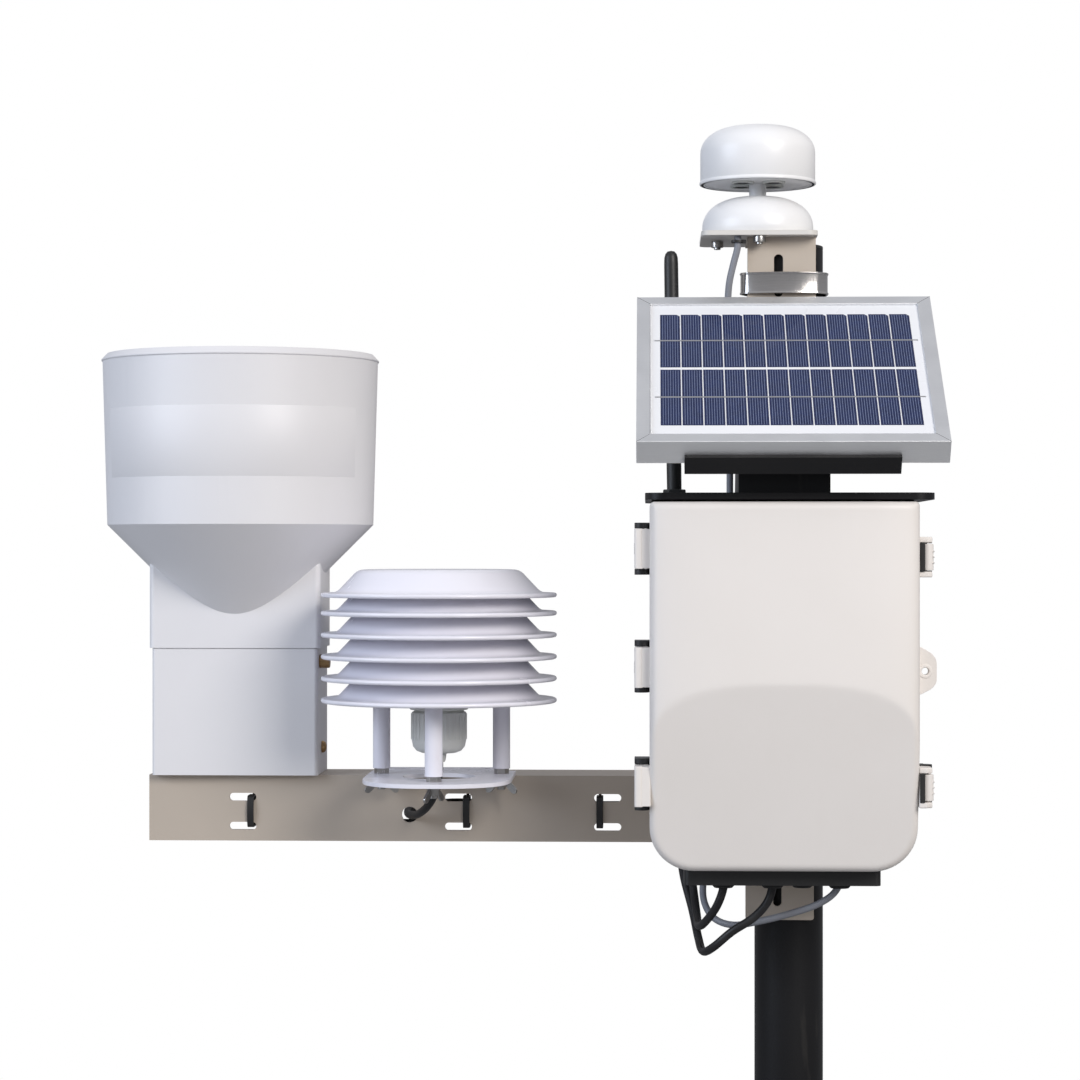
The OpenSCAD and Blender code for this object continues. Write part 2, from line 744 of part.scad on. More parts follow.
module panel_junction_box() {
    color(BLACK) on_panel() along_z(-14.7, -5.7) translate([0, 45]) round_rect(52, 42, 4);
}

// ---------- wind sensor ----------

module wind_bracket() {
    x0 = BRACKET_X - PLATE_W / 2;
    color(GREIGE) difference() {
        union() {
            translate([x0, FRONT_Y - PLATE_T, 1376]) cube([PLATE_W, PLATE_T, WIND_LOW - 1376]);
            translate([x0, FRONT_Y - PLATE_T, WIND_LOW - 3]) cube([PLATE_W, 52.5, 3]);
        }
        along_y(FRONT_Y - 5, FRONT_Y + 1) translate([-8.8, 1400]) rotate(90) oblong(31, 6.6);
        rod_z([WIND_SCREWS[3].x, WIND_SCREWS[3].y, WIND_LOW - 10], 2.6, 20);
    }
}

WIND_SCREWS = [[-23, -36], [-53, 0], [-23, 37], [12, 0]];

module wind_plate() {
    color(GREIGE) difference() {
        along_z(WIND_LOW, WIND_LOW + 3.5) translate([WIND_X, 1]) round_rect(85, 86, 7);
        for (p = WIND_SCREWS) rod_z([p.x, p.y, WIND_LOW - 5], 2.6, 20);
        rod_z([-39, -34, WIND_LOW - 5], 2.9, 20);
    }
}

// Outline of a dome: half width r, from z0 up to z1, with a straight side of the given height
function dome(r, z0, z1, side, flat) = concat(
    [[0, z0], [r, z0]],
    [for (i = [0 : 14]) let (a = 90 * i / 14)
        [flat + (r - flat) * cos(a), z0 + side + (z1 - z0 - side) * sin(a)]],
    [[0, z1]]);

module wind_lower_shell() {
    z0 = WIND_LOW + 3.5;
    color(WHITE) translate([WIND_X, 0, 0]) difference() {
        rotate_extrude() polygon(dome(41.2, z0, WIND_GAP, 5, 5));
        translate([0, 0, -0.01]) rotate_extrude() polygon(dome(38.6, z0, WIND_GAP - 2.6, 5, 5));
        rod_z([0, 0, z0], 6.4, 40);
    }
}

module wind_post() {
    color(WHITE) translate([WIND_X, 0, 0]) {
        rod_z([0, 0, WIND_GAP - 12], 6.3, WIND_RIM - WIND_GAP + 13);
        rod_z([0, 0, WIND_RIM + 1], 39.8, 3);
    }
}

module wind_upper_shell() {
    color(WHITE) translate([WIND_X, 0, 0]) difference() {
        union() {
            rotate_extrude() polygon(dome(42.4, WIND_RIM, WIND_TOP, 23, 14));
            rotate_extrude() polygon([[0, WIND_RIM], [43, WIND_RIM], [43.4, WIND_RIM + 1.2], [42.2, WIND_RIM + 4], [0, WIND_RIM + 4]]);
        }
        translate([0, 0, -0.01]) rotate_extrude() polygon(dome(40, WIND_RIM, WIND_TOP - 2.6, 22, 13));
    }
}

module wind_transducers() {
    color(BLACK) translate([WIND_X, 0, WIND_RIM - 0.4]) for (x = [-11.4, 11.4], y = [-11.6, 11.6]) {
        rod_z([x, y, 0], 8.5, 1.4);
    }
}

module wind_screws() {
    color(STEEL) {
        for (i = [0 : 2]) {
            p = WIND_SCREWS[i];
            rod_z([p.x, p.y, WIND_LOW - 6.5], 2.5, 10);
            hex_z([p.x, p.y, WIND_LOW - 5.1], 4.4, 5);
        }
        rod_z([WIND_SCREWS[3].x, WIND_SCREWS[3].y, WIND_LOW - 3], 2.5, 6.5);
    }
}

// ---------- rain gauge ----------

SPOUT_R = 8;
FUNNEL_WALL = 3;
// Height on the outer cone where its radius is r
function cone_z(r) = CYL_LOW - CYL_R + r;

module rain_funnel() {
    t = FUNNEL_WALL;
    tt = t * sqrt(2);
    rim_r = rim_d / 2;
    outer = [
        [0, 1114], [SPOUT_R, 1114], [SPOUT_R, cone_z(SPOUT_R)], [CYL_R, CYL_LOW], [rim_r - 0.9, rim_z - 6],
        [rim_r, rim_z - 5.2], [rim_r, rim_z - 4.5], [rim_r - 4.2, rim_z], [0, rim_z]];
    inner = [
        [0, 1113], [SPOUT_R - t, 1113], [SPOUT_R - t, cone_z(SPOUT_R) + tt - t],
        [CYL_R - t, CYL_LOW + tt - t], [rim_r - 5, rim_z - 6], [rim_r - 4.6, rim_z + 1], [0, rim_z + 1]];
    color(WHITE) translate([RAIN.x, RAIN.y, 0]) difference() {
        union() {
            rotate_extrude($fn = 96) polygon(outer);
            along_z(RAIN_SEAM + 0.3, 1195) difference() {
                round_rect(130, 68, 4);
                round_rect(124, 62, 1.5);
            }
        }
        rotate_extrude($fn = 96) polygon(inner);
    }
}

module rain_screen() {
    z = cone_z(28.4) + FUNNEL_WALL * sqrt(2) + 0.05;
    color(STEEL) translate([RAIN.x, RAIN.y, z]) difference() {
        cylinder(r = 28.4, h = 1.6);
        for (a = [0 : 45 : 315]) rotate([0, 0, a]) {
            rod_z([9, 0, -1], 2.6, 4);
            rod_z([21 * cos(22.5), 21 * sin(22.5), -1], 3.4, 4);
        }
    }
}

module rain_base() {
    color(WHITE) translate([RAIN.x, RAIN.y, 0]) difference() {
        union() {
            along_z(RAIN_FLOOR, RAIN_SEAM) round_rect(126, 66, 3);
            along_z(RAIN_SEAM - 1, RAIN_SEAM + 10) round_rect(123.2, 61.2, 1.2);
        }
        along_z(RAIN_FLOOR + 4, RAIN_SEAM + 20) round_rect(118, 56, 1);
        for (x = [-45, 45]) rod_z([x, 0, RAIN_FLOOR - 1], 3.1, 6);
        for (x = [-28, 28]) rod_z([x, 0, RAIN_FLOOR - 1], 4, 6);
        rod_z([42, 16, RAIN_FLOOR - 1], 3.6, 6);
        rod_x([55, -21, 1114], 3.1, 20);
        for (s = [-1, 1]) rod_x([s > 0 ? 55 : -75, -6, 1048], 2.1, 20);
    }
}

module rain_side_screws() {
    translate([RAIN.x, RAIN.y, 0]) {
        color([0.6, 0.45, 0.2]) {
            rod_x([56, -21, 1114], 3, 10);
            rod_x([63.1, -21, 1114], 5, 8);
        }
        color(STEEL) for (s = [-1, 1]) {
            rod_x([s > 0 ? 57 : -69, -6, 1048], 2, 12);
            rod_x([s > 0 ? 63.1 : -66.6, -6, 1048], 4.6, 3.5);
        }
    }
}

// Bucket's outline, level, with the pivot at its origin
module tipping_bucket() {
    floor_in = [[-38, 14], [0, 4], [38, 14]];
    color([0.85, 0.85, 0.86]) translate([RAIN.x, RAIN.y, BUCKET_Z]) rotate([0, BUCKET_REST, 0]) difference() {
        union() {
            along_y(-13, 13) {
                polygon([[-38, 14], [0, 4], [38, 14], [38, 16], [0, 6], [-38, 16]]);
                polygon([[-1, 4.5], [1, 4.5], [1, 38], [-1, 38]]);
                circle(r = 5);
            }
            for (y = [-13, 11.4]) along_y(y, y + 1.6) polygon([
                [-38, 14], [0, 4], [38, 14], [38, 20], [5, 37], [-5, 37], [-38, 20]]);
        }
        rod_y([0, -20, 0], 1.5 + RUN, 40);
    }
}

module bucket_axle() {
    color(STEEL) rod_y([RAIN.x, RAIN.y - 19, BUCKET_Z], 1.5, 38);
}

module bucket_bridge() {
    z0 = RAIN_FLOOR + 4;
    color(BLACK) translate([RAIN.x, RAIN.y, 0]) difference() {
        union() {
            for (y = [-18, 15.5]) translate([-8, y, z0]) cube([16, 2.5, BUCKET_Z + 8 - z0]);
            translate([-12, -18, z0]) cube([24, 36, 2.5]);
            for (s = [-1, 1]) {
                rod_z([s * 32, 0, z0 + 2], 2.5, BUCKET_Z + 2.7 - z0 - 2);
                translate([s * 32 - 6, -6, z0]) cube([12, 12, 2.5]);
            }
        }
        rod_y([0, -20, BUCKET_Z], 1.52, 40);
        for (s = [-1, 1]) rod_z([s * 28, 0, z0 - 1], 3, 3);
    }
}

module reed_switch() {
    color([0.2, 0.4, 0.25]) translate([RAIN.x - 6, RAIN.y + 18, 1046]) cube([12, 3, 20]);
}

// ---------- radiation shield ----------

// Half section of a louvre whose rim is at z, open inside radius bore
function louvre_profile(z, bore) = let (r = louvre_d / 2) [
    [bore, z + 16.1], [bore, z + 18.9], [59.5, z + 18.9], [62.4, z + 17.4], [77.2, z + 1.65], [r - 1, z + 1.65],
    [r, z + 0.7], [r, z - 0.7], [r - 1, z - 1.65], [75.2, z - 1.65], [61.2, z + 14.9], [58.6, z + 16.1]];

module post_holes(z0, h) {
    for (p = POSTS) rod_z([p.x, p.y, z0], 3.2, h);
}

module shield_cap() {
    color(WHITE) translate([SHIELD.x, SHIELD.y, 0])
        rotate_extrude($fn = 96) polygon(louvre_profile(LOUVRE_Z[0], 0));
}

module shield_louvres() {
    color(WHITE) translate([SHIELD.x, SHIELD.y, 0]) for (i = [1 : 5]) {
        z = LOUVRE_Z[i];
        difference() {
            rotate_extrude($fn = 96) polygon(louvre_profile(z, i == 5 ? 14.2 : 44));
            post_holes(z + 10, 20);
        }
    }
}

module shield_spacers() {
    color(WHITE) translate([SHIELD.x, SHIELD.y, 0]) difference() {
        for (p = POSTS) {
            for (i = [0 : 4]) {
                low = LOUVRE_Z[i + 1] + 18.9;
                rod_z([p.x, p.y, low], 6.5, LOUVRE_Z[i] + 16.1 - low);
            }
            rod_z([p.x, p.y, BASE_Z + BASE_T + 3.8], 6.5, LOUVRE_Z[5] + 16.1 - BASE_Z - BASE_T - 3.8);
        }
        post_holes(1000, 200);
    }
}

module shield_rods() {
    color(STEEL) translate([SHIELD.x, SHIELD.y, 0]) for (p = POSTS) {
        rod_z([p.x, p.y, BASE_Z - 9], 3, LOUVRE_Z[0] + 16.1 - BASE_Z + 9);
        hex_z([p.x, p.y, BASE_Z + BASE_T], 5.6, 3.8);
    }
}

module shield_base_plate() {
    front = arch(54.5, 62, 2.5, 24);
    color(WHITE) translate([SHIELD.x, 0, 0]) difference() {
        along_z(BASE_Z, BASE_Z + BASE_T) {
            polygon([for (p = front) [-p.x, -33 - p.y]]);
            translate([-54.5, -33.01]) square([109, 68]);
            translate([-46, 30]) square([92, 38]);
        }
        rod_z([0, SHIELD.y, BASE_Z - 1], 27, 6);
        translate([0, SHIELD.y, 0]) post_holes(BASE_Z - 1, 6);
        for (x = [-32, 32]) rod_z([x, 57, BASE_Z - 1], 3.1, 6);
    }
}

module shield_wing_nuts() {
    color(STEEL) translate([SHIELD.x, SHIELD.y, 0]) for (i = [0 : 2]) translate([POSTS[i].x, POSTS[i].y, 0]) {
        difference() {
            union() {
                rod_z([0, 0, BASE_Z - 7], 4.6, 6.9);
                rotate([0, 0, [75, 8, -12][i]]) for (s = [0, 180]) rotate([0, 0, s])
                    along_y(-0.9, 0.9) polygon([[3.6, BASE_Z - 1], [9, BASE_Z - 4], [13, BASE_Z - 10], [9, BASE_Z - 12], [3.6, BASE_Z - 6]]);
            }
            rod_z([0, 0, BASE_Z - 20], 3.1, 30);
        }
    }
}

module probe_gland() {
    color([0.55, 0.55, 0.54]) translate([SHIELD.x, SHIELD.y, 0]) rotate_extrude() polygon([
        [3.3, 1041.5], [4.2, 1041.5], [5.6, 1048], [13, 1048], [17.2, 1049.6], [20.2, 1053], [21.4, 1058],
        [21.4, 1079.2], [18, 1079.2], [18, 1080.4], [21.7, 1080.4], [21.7, 1082], [14, 1082], [14, 1107],
        [8.2, 1107], [8.2, 1060], [3.3, 1060]]);
}

module humidity_probe() {
    color([0.8, 0.8, 0.8]) translate([SHIELD.x, SHIELD.y, 0]) {
        rod_z([0, 0, 1062], 8, 68);
        rod_z([0, 0, 1130], 9, 30);
    }
}

// ---------- cables ----------

module probe_cable() {
    color(BLACK) cord(PROBE_ROUTE, CORD_D, 3, 10);
}

module rain_cable() {
    color(BLACK) cord(RAIN_ROUTE, CORD_D, 3, 10);
}

module wind_cable() {
    color([0.45, 0.46, 0.48]) cord(WIND_ROUTE, WIND_CORD_D, 3, 10);
}

mast();
mast_cap();
mast_foot();
tripod_hub();
hub_knobs();
leg_bolts();
leg_left();
leg_front();
leg_back();
back_plate();
mast_bands();
arm_channel();
arm_bolts();
zip_ties();
enclosure_base();
enclosure_door();
door_gasket();
hinge_brackets();
latch_keepers();
latch_brackets();
latch_lever_upper();
latch_lever_lower();
gland_strip();
battery();
logger_box();
roof_plate();
case_screws();
antenna();
panel_pedestal();
tilt_bolts();
panel_cradle();
panel_frame();
panel_laminate();
panel_junction_box();
wind_bracket();
wind_plate();
wind_lower_shell();
wind_post();
wind_upper_shell();
wind_transducers();
wind_screws();
rain_funnel();
rain_screen();
rain_base();
rain_side_screws();
tipping_bucket();
bucket_axle();
bucket_bridge();
reed_switch();
shield_cap();
shield_louvres();
shield_spacers();
shield_rods();
shield_base_plate();
shield_wing_nuts();
humidity_probe();
probe_gland();
probe_cable();
rain_cable();
wind_cable();
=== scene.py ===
import math

import bmesh
import bpy
from mathutils import Matrix, Vector


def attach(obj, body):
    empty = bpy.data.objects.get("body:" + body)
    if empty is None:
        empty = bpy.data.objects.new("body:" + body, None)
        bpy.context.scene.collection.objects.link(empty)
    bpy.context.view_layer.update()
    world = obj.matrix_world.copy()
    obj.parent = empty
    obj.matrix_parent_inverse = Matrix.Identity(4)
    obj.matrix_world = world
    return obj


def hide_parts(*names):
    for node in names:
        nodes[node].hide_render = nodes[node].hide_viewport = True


# Weather station on a tripod mast. Lengths are millimetres, apart from the camera, the floor and
# the lamps, which are placed in metres.

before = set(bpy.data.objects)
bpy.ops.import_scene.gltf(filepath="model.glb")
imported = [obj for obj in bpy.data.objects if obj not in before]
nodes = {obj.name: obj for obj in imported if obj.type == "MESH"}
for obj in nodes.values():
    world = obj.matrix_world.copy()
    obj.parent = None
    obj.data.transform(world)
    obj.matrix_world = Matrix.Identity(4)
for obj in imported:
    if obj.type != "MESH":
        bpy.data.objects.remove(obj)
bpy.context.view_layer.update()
scene = bpy.context.scene
MM = 0.001
HERE = Matrix.Identity(4)

# ---------- camera ----------

camera_data = bpy.data.cameras.new("camera")
camera_data.lens = 94.33
camera_data.sensor_width = 36
camera_data.shift_y = 0.0074
camera = bpy.data.objects.new("camera", camera_data)
camera.location = (-0.104, -2.1105, 1.2)
camera.rotation_euler = (math.radians(90), 0, math.radians(2.2))
scene.collection.objects.link(camera)
scene.camera = camera


# ---------- finishes ----------


class Signal:
    """A shader socket that can stand in a sum."""

    def __init__(self, finish, socket):
        self.finish = finish
        self.socket = socket

    def maths(self, operation, first, second):
        return self.finish.node("Math", {"operation": operation}, {0: first, 1: second})

    def __add__(self, other):
        return self.maths("ADD", self, other)

    def __mul__(self, other):
        return self.maths("MULTIPLY", self, other)

    __radd__ = __add__


class Finish:
    """A material built from nodes on one Principled shader."""

    def __init__(self, name, **sockets):
        self.material = bpy.data.materials.new(name)
        self.material.use_nodes = True
        self.tree = self.material.node_tree
        self.shader = self.tree.nodes["Principled BSDF"]
        for socket, value in sockets.items():
            self.feed(self.shader.inputs[socket.replace("_", " ")], value)

    def feed(self, socket, value):
        if isinstance(value, Signal):
            self.tree.links.new(value.socket, socket)
        else:
            socket.default_value = value

    def node(self, kind, settings=None, inputs=None, output=0):
        node = self.tree.nodes.new("ShaderNode" + kind)
        for name, value in (settings or {}).items():
            setattr(node, name, value)
        for key, value in (inputs or {}).items():
            self.feed(node.inputs[key], value)
        return Signal(self, node.outputs[output])

    def place(self, stretch=(1, 1, 1)):
        spot = self.node("TexCoord", output=3)
        return self.node("Mapping", inputs={"Vector": spot, "Scale": stretch})

    def noise(self, scale, detail=2, stretch=(1, 1, 1)):
        inputs = {"Vector": self.place(stretch), "Scale": scale, "Detail": detail}
        return self.node("TexNoise", inputs=inputs)

    def range(self, value, low, high, new_low=0.0, new_high=1.0):
        inputs = {0: value, 1: low, 2: high, 3: new_low, 4: new_high}
        return self.node("MapRange", {"clamp": True}, inputs)

    def mix(self, amount, first, second):
        inputs = {0: amount, 6: first, 7: second}
        return self.node("Mix", {"data_type": "RGBA"}, inputs, output=2)

    def facing_up(self):
        normal = self.node("NewGeometry", output=1)
        return self.node("SeparateXYZ", inputs={0: normal}, output=2)

    def look(self, colour, roughness, height=None, strength=0.3, depth=0.0001):
        self.feed(self.shader.inputs["Base Color"], colour)
        self.feed(self.shader.inputs["Roughness"], roughness)
        if height is not None:
            inputs = {"Height": height, "Strength": strength, "Distance": depth}
            self.feed(self.shader.inputs["Normal"], self.node("Bump", inputs=inputs))
        return self.material


def rgb(red, green, blue):
    return (red, green, blue, 1)


DUST = rgb(0.55, 0.5, 0.42)


def powder_coat(name, colour, dark, roughness, dust=0.12):
    """Baked powder: fine orange peel, a little dust on what faces up."""
    f = Finish(name, Specular_IOR_Level=0.5 if sum(colour) > 0.1 else 0.25)
    peel = f.noise(900, 3)
    cloud = f.noise(14, 4)
    scuffs = f.range(f.noise(60, 6, (1, 1, 0.15)), 0.62, 0.78)
    settled = f.range(f.facing_up(), 0.5, 1.0) * f.range(f.noise(35, 5), 0.35, 0.7) * dust
    tone = f.mix(cloud, rgb(*colour), rgb(*dark))
    tone = f.mix(settled + scuffs * 0.05, tone, DUST)
    return f.look(tone, roughness + cloud * 0.12 + scuffs * 0.1, peel, 0.25, 0.00012)


def moulded(name, colour, shade, roughness, texture=420, strength=0.12, dirt=0.1, **sockets):
    """Moulded plastic: faint mottling, fine skin texture and rain-washed dirt."""
    f = Finish(name, **sockets)
    skin = f.noise(texture, 3) * 0.7 + f.noise(texture * 4, 2) * 0.3
    cloud = f.range(f.noise(9, 5), 0.3, 0.75)
    streaks = f.range(f.noise(55, 5, (1, 1, 0.08)), 0.56, 0.8)
    settled = f.range(f.facing_up(), 0.6, 1.0) * f.range(f.noise(45, 4), 0.4, 0.75)
    tone = f.mix(cloud, rgb(*colour), rgb(*shade))
    tone = f.mix(streaks * (dirt * 0.35) + settled * dirt, tone, DUST)
    return f.look(tone, roughness + cloud * 0.08 + streaks * 0.06, skin, strength, 0.0001)


def metal(name, colour, dark, roughness, grain=(1, 1, 0.03), strength=0.15):
    """Bare metal with a drawn grain along one axis."""
    f = Finish(name, Metallic=1.0)
    lines = f.noise(1600, 2, grain)
    stain = f.range(f.noise(40, 5), 0.4, 0.75)
    tone = f.mix(lines * 0.6 + stain * 0.3, rgb(*colour), rgb(*dark))
    return f.look(tone, roughness + lines * 0.1 + stain * 0.12, lines, strength, 0.00005)


def silicon():
    """Blue cells under glass: crystal grains in slightly different blues."""
    f = Finish("solar cell", Coat_Weight=0.35, Coat_Roughness=0.04, Specular_IOR_Level=0.2)
    crystals = f.node("TexVoronoi", inputs={"Vector": f.place(), "Scale": 260.0}, output=1)
    grain = f.node("SeparateXYZ", inputs={0: crystals})
    cloud = f.noise(30, 3)
    tone = f.mix(grain * 0.5 + cloud * 0.4, rgb(0.004, 0.009, 0.05), rgb(0.011, 0.021, 0.09))
    return f.look(tone, 0.3 + grain * 0.12, grain, 0.05, 0.00003)


def rubbery(name, colour, roughness):
    """Rubber and soft cable jackets: matt, paler where it has been handled."""
    f = Finish(name, Specular_IOR_Level=0.35)
    skin = f.noise(700, 3)
    cloud = f.range(f.noise(50, 4), 0.4, 0.8)
    tone = f.mix(cloud * 0.35, rgb(*colour), rgb(*[c + 0.05 for c in colour]))
    return f.look(tone, roughness + cloud * 0.12, skin, 0.25, 0.00012)


BLACK_PAINT = powder_coat("black powder coat", (0.007, 0.007, 0.008), (0.012, 0.012, 0.013), 0.34, 0.03)
GREIGE_PAINT = powder_coat("greige powder coat", (0.53, 0.46, 0.385), (0.48, 0.415, 0.345), 0.46, 0.06)
PALE_PAINT = powder_coat("pale powder coat", (0.7, 0.68, 0.64), (0.66, 0.64, 0.6), 0.42, 0.05)
CASE_WHITE = moulded("case plastic", (0.83, 0.79, 0.755), (0.8, 0.76, 0.72), 0.42, 380, 0.1, 0.1)
GAUGE_WHITE = moulded("gauge plastic", (0.79, 0.78, 0.79), (0.76, 0.75, 0.765), 0.42, 260, 0.06, 0.05)
SHIELD_WHITE = moulded("louvre plastic", (0.84, 0.83, 0.89), (0.81, 0.8, 0.87), 0.2, 200, 0.04, 0.02)
DOME_WHITE = moulded("dome plastic", (0.88, 0.88, 0.88), (0.85, 0.85, 0.86), 0.3, 500, 0.06, 0.05)
FITTING_GREY = moulded("gland plastic", (0.66, 0.67, 0.64), (0.6, 0.61, 0.58), 0.4, 600, 0.1, 0.06)
BLACK_NYLON = moulded("black nylon", (0.012, 0.012, 0.012), (0.022, 0.022, 0.022), 0.42, 700, 0.2, 0.03)
BOX_GREY = moulded("logger case", (0.2, 0.24, 0.29), (0.16, 0.2, 0.25), 0.45, 500, 0.2, 0.05)
STAINLESS = metal("stainless strap", (0.74, 0.72, 0.7), (0.5, 0.48, 0.46), 0.1, (0.05, 0.05, 1), 0.03)
BOLT_STEEL = metal("bright bolts", (0.55, 0.54, 0.52), (0.27, 0.26, 0.25), 0.22, (1, 1, 1), 0.08)
ANODISED = metal("anodised frame", (0.93, 0.94, 0.95), (0.84, 0.85, 0.86), 0.4, (0.04, 1, 1), 0.05)
BRASS = metal("old brass", (0.5, 0.33, 0.16), (0.22, 0.14, 0.07), 0.32, (1, 1, 1))
RIBBON = metal("solder ribbon", (0.7, 0.7, 0.7), (0.5, 0.5, 0.5), 0.3, (0.05, 1, 1))
BACKSHEET = moulded("white backsheet", (0.82, 0.83, 0.85), (0.78, 0.79, 0.82), 0.22, 300, 0.03, 0.03)
CELL_BLUE = silicon()
FINGERS = moulded("cell fingers", (0.24, 0.3, 0.46), (0.2, 0.26, 0.42), 0.3, 300, 0.02, 0.0)
BLACK_JACKET = rubbery("black cable jacket", (0.012, 0.012, 0.013), 0.4)
GREY_JACKET = rubbery("grey cable jacket", (0.24, 0.25, 0.28), 0.42)
SEAL = rubbery("seal rubber", (0.015, 0.015, 0.015), 0.6)
BOARD = moulded("circuit board", (0.03, 0.16, 0.07), (0.02, 0.12, 0.05), 0.35, 900, 0.1, 0.0)
FILM = moulded("label film", (0.775, 0.765, 0.775), (0.75, 0.74, 0.755), 0.4, 90, 0.02, 0.02)
GROOVE = rubbery("joint line", (0.05, 0.05, 0.05), 0.7)


# ---------- shapes ----------


def turn(x=0.0, y=0.0, z=0.0):
    """Rotation by degrees about X, then Y, then Z."""
    about_x, about_y, about_z = (Matrix.Rotation(math.radians(angle), 4, axis)
                                 for angle, axis in ((x, "X"), (y, "Y"), (z, "Z")))
    return about_z @ about_y @ about_x


def at(x, y, z):
    return Matrix.Translation((x, y, z))


TO_X = turn(y=90)
TO_FRONT = turn(x=90)

WELD_M, CLEAN_M, SLIVER_M = 0.000003, 0.00002, 0.000002
FLAT_ANGLE = math.radians(0.4)


def soften(part, edge, angle=32, segments=2):
    """Rounds a piece's edges and evens out its shading."""
    weld = part.modifiers.new("weld", "WELD")
    weld.merge_threshold = WELD_M
    flat = part.modifiers.new("flats", "DECIMATE")
    flat.decimate_type = "DISSOLVE"
    flat.angle_limit = FLAT_ANGLE
    if edge:
        bevel = part.modifiers.new("edges", "BEVEL")
        bevel.width = edge * MM
        bevel.segments = segments
        bevel.limit_method = "ANGLE"
        bevel.angle_limit = math.radians(angle)
        bevel.miter_outer = "MITER_ARC"
    shade = part.modifiers.new("shading", "WEIGHTED_NORMAL")
    shade.weight = 90


class Shape:
    """Solids in millimetres gathered into one piece."""

    def __init__(self):
        self.mesh = bmesh.new()

    def loft(self, rings, closed=False, place=HERE, caps=True):
        """Skin over rings that all have the same number of points."""
        rows = [[self.mesh.verts.new(place @ Vector(p)) for p in ring] for ring in rings]
        count, size = len(rows), len(rows[0])
        for i in range(count if closed else count - 1):
            low, high = rows[i], rows[(i + 1) % count]
            for k in range(size):
                m = (k + 1) % size
                self.mesh.faces.new((low[k], low[m], high[m], high[k]))
        if caps and not closed:
            self.mesh.faces.new(rows[0][::-1])
            self.mesh.faces.new(rows[-1])
        return self

    def lathe(self, profile, place=HERE, sides=64, knurl=0.0):
        """A closed profile of (radius, height) turned about Z; knurl raises every other step."""
        rings = []
        for k in range(sides):
            a = 2 * math.pi * k / sides
            lift = knurl if k % 2 else 0.0
            raised = [(r + lift * (r > 0), z) for r, z in profile]
            rings.append([(r * math.cos(a), r * math.sin(a), z) for r, z in raised])
        return self.loft(rings, True, place)

    def prism(self, outline, low, high, place=HERE):
        return self.loft([[(x, y, z) for x, y in outline] for z in (low, high)], False, place)

    def box(self, low, high, place=HERE):
        (x0, y0, z0), (x1, y1, z1) = low, high
        return self.prism([(x0, y0), (x1, y0), (x1, y1), (x0, y1)], z0, z1, place)

    def plate(self, outline, hole, radius, low, high, place=HERE, sides=48):
        """A convex plate with one round hole in it."""
        corners = [math.atan2(y - hole[1], x - hole[0]) for x, y in outline]
        angles = sorted(corners + [2 * math.pi * k / sides - math.pi for k in range(sides)])
        outer = [ray_to_edge(outline, hole, a) for a in angles]
        inner = [(hole[0] + radius * math.cos(a), hole[1] + radius * math.sin(a))
                 for a in angles]
        loops = [(inner, low), (outer, low), (outer, high), (inner, high)]
        return self.loft([[(x, y, z) for x, y in loop] for loop, z in loops], True, place)

    def tube(self, route, radius, sides=12, place=HERE):
        """A round rod along a route of points."""
        route = [Vector(p) for p in route]
        side = Vector((0, 0, 1))
        rings = []
        for i, point in enumerate(route):
            along = (route[min(i + 1, len(route) - 1)] - route[max(i - 1, 0)]).normalized()
            side = (side - along * side.dot(along)).normalized()
            other = along.cross(side)
            rings.append([point + radius * (math.cos(a) * side + math.sin(a) * other)
                          for a in (2 * math.pi * k / sides for k in range(sides))])
        return self.loft(rings, False, place)

    def strap(self, outline, section, place=HERE):
        """A section of (outwards, height) carried round a closed, level outline."""
        rings = []
        for i, here in enumerate(outline):
            before, after = Vector(outline[i - 1]), Vector(outline[(i + 1) % len(outline)])
            along = (after - before).normalized()
            out = Vector((along.y, -along.x))
            rings.append([(here[0] + out.x * d, here[1] + out.y * d, z) for d, z in section])
        return self.loft(rings, True, place)

    def piece(self, name, material, slot, body="root", stands_for=(), edge=0.0, angle=32,
              place=HERE):
        """Cleans the mesh, scales it to metres and puts it into the scene on its body."""
        to_metres = Matrix.Diagonal((MM, MM, MM, 1)) @ place
        bmesh.ops.transform(self.mesh, matrix=to_metres, verts=self.mesh.verts)
        bmesh.ops.remove_doubles(self.mesh, verts=self.mesh.verts, dist=CLEAN_M)
        bmesh.ops.dissolve_degenerate(self.mesh, edges=self.mesh.edges, dist=SLIVER_M)
        bmesh.ops.recalc_face_normals(self.mesh, faces=self.mesh.faces)
        mesh = bpy.data.meshes.new(name)
        self.mesh.to_mesh(mesh)
        self.mesh.free()
        mesh.materials.append(material)
        mesh.shade_smooth()
        part = bpy.data.objects.new(name, mesh)
        scene.collection.objects.link(part)
        if edge:
            soften(part, edge, angle)
        else:
            mesh.set_sharp_from_angle(angle=math.radians(angle))
        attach(part, body)
        if stands_for:
            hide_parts(*stands_for)
        return part


def ray_to_edge(outline, start, angle):
    """Where a ray from inside a convex outline leaves it."""
    way = Vector((math.cos(angle), math.sin(angle)))
    nearest = None
    for i, corner in enumerate(outline):
        a, b = Vector(corner), Vector(outline[(i + 1) % len(outline)])
        edge = b - a
        turn_rate = way.x * edge.y - way.y * edge.x
        if abs(turn_rate) < 1e-9:
            continue
        gap = a - Vector(start)
        reach = (gap.x * edge.y - gap.y * edge.x) / turn_rate
        part = (gap.x * way.y - gap.y * way.x) / turn_rate
        if reach > 0 and -1e-6 <= part <= 1 + 1e-6 and (nearest is None or reach < nearest):
            nearest = reach
    return (start[0] + way.x * nearest, start[1] + way.y * nearest)


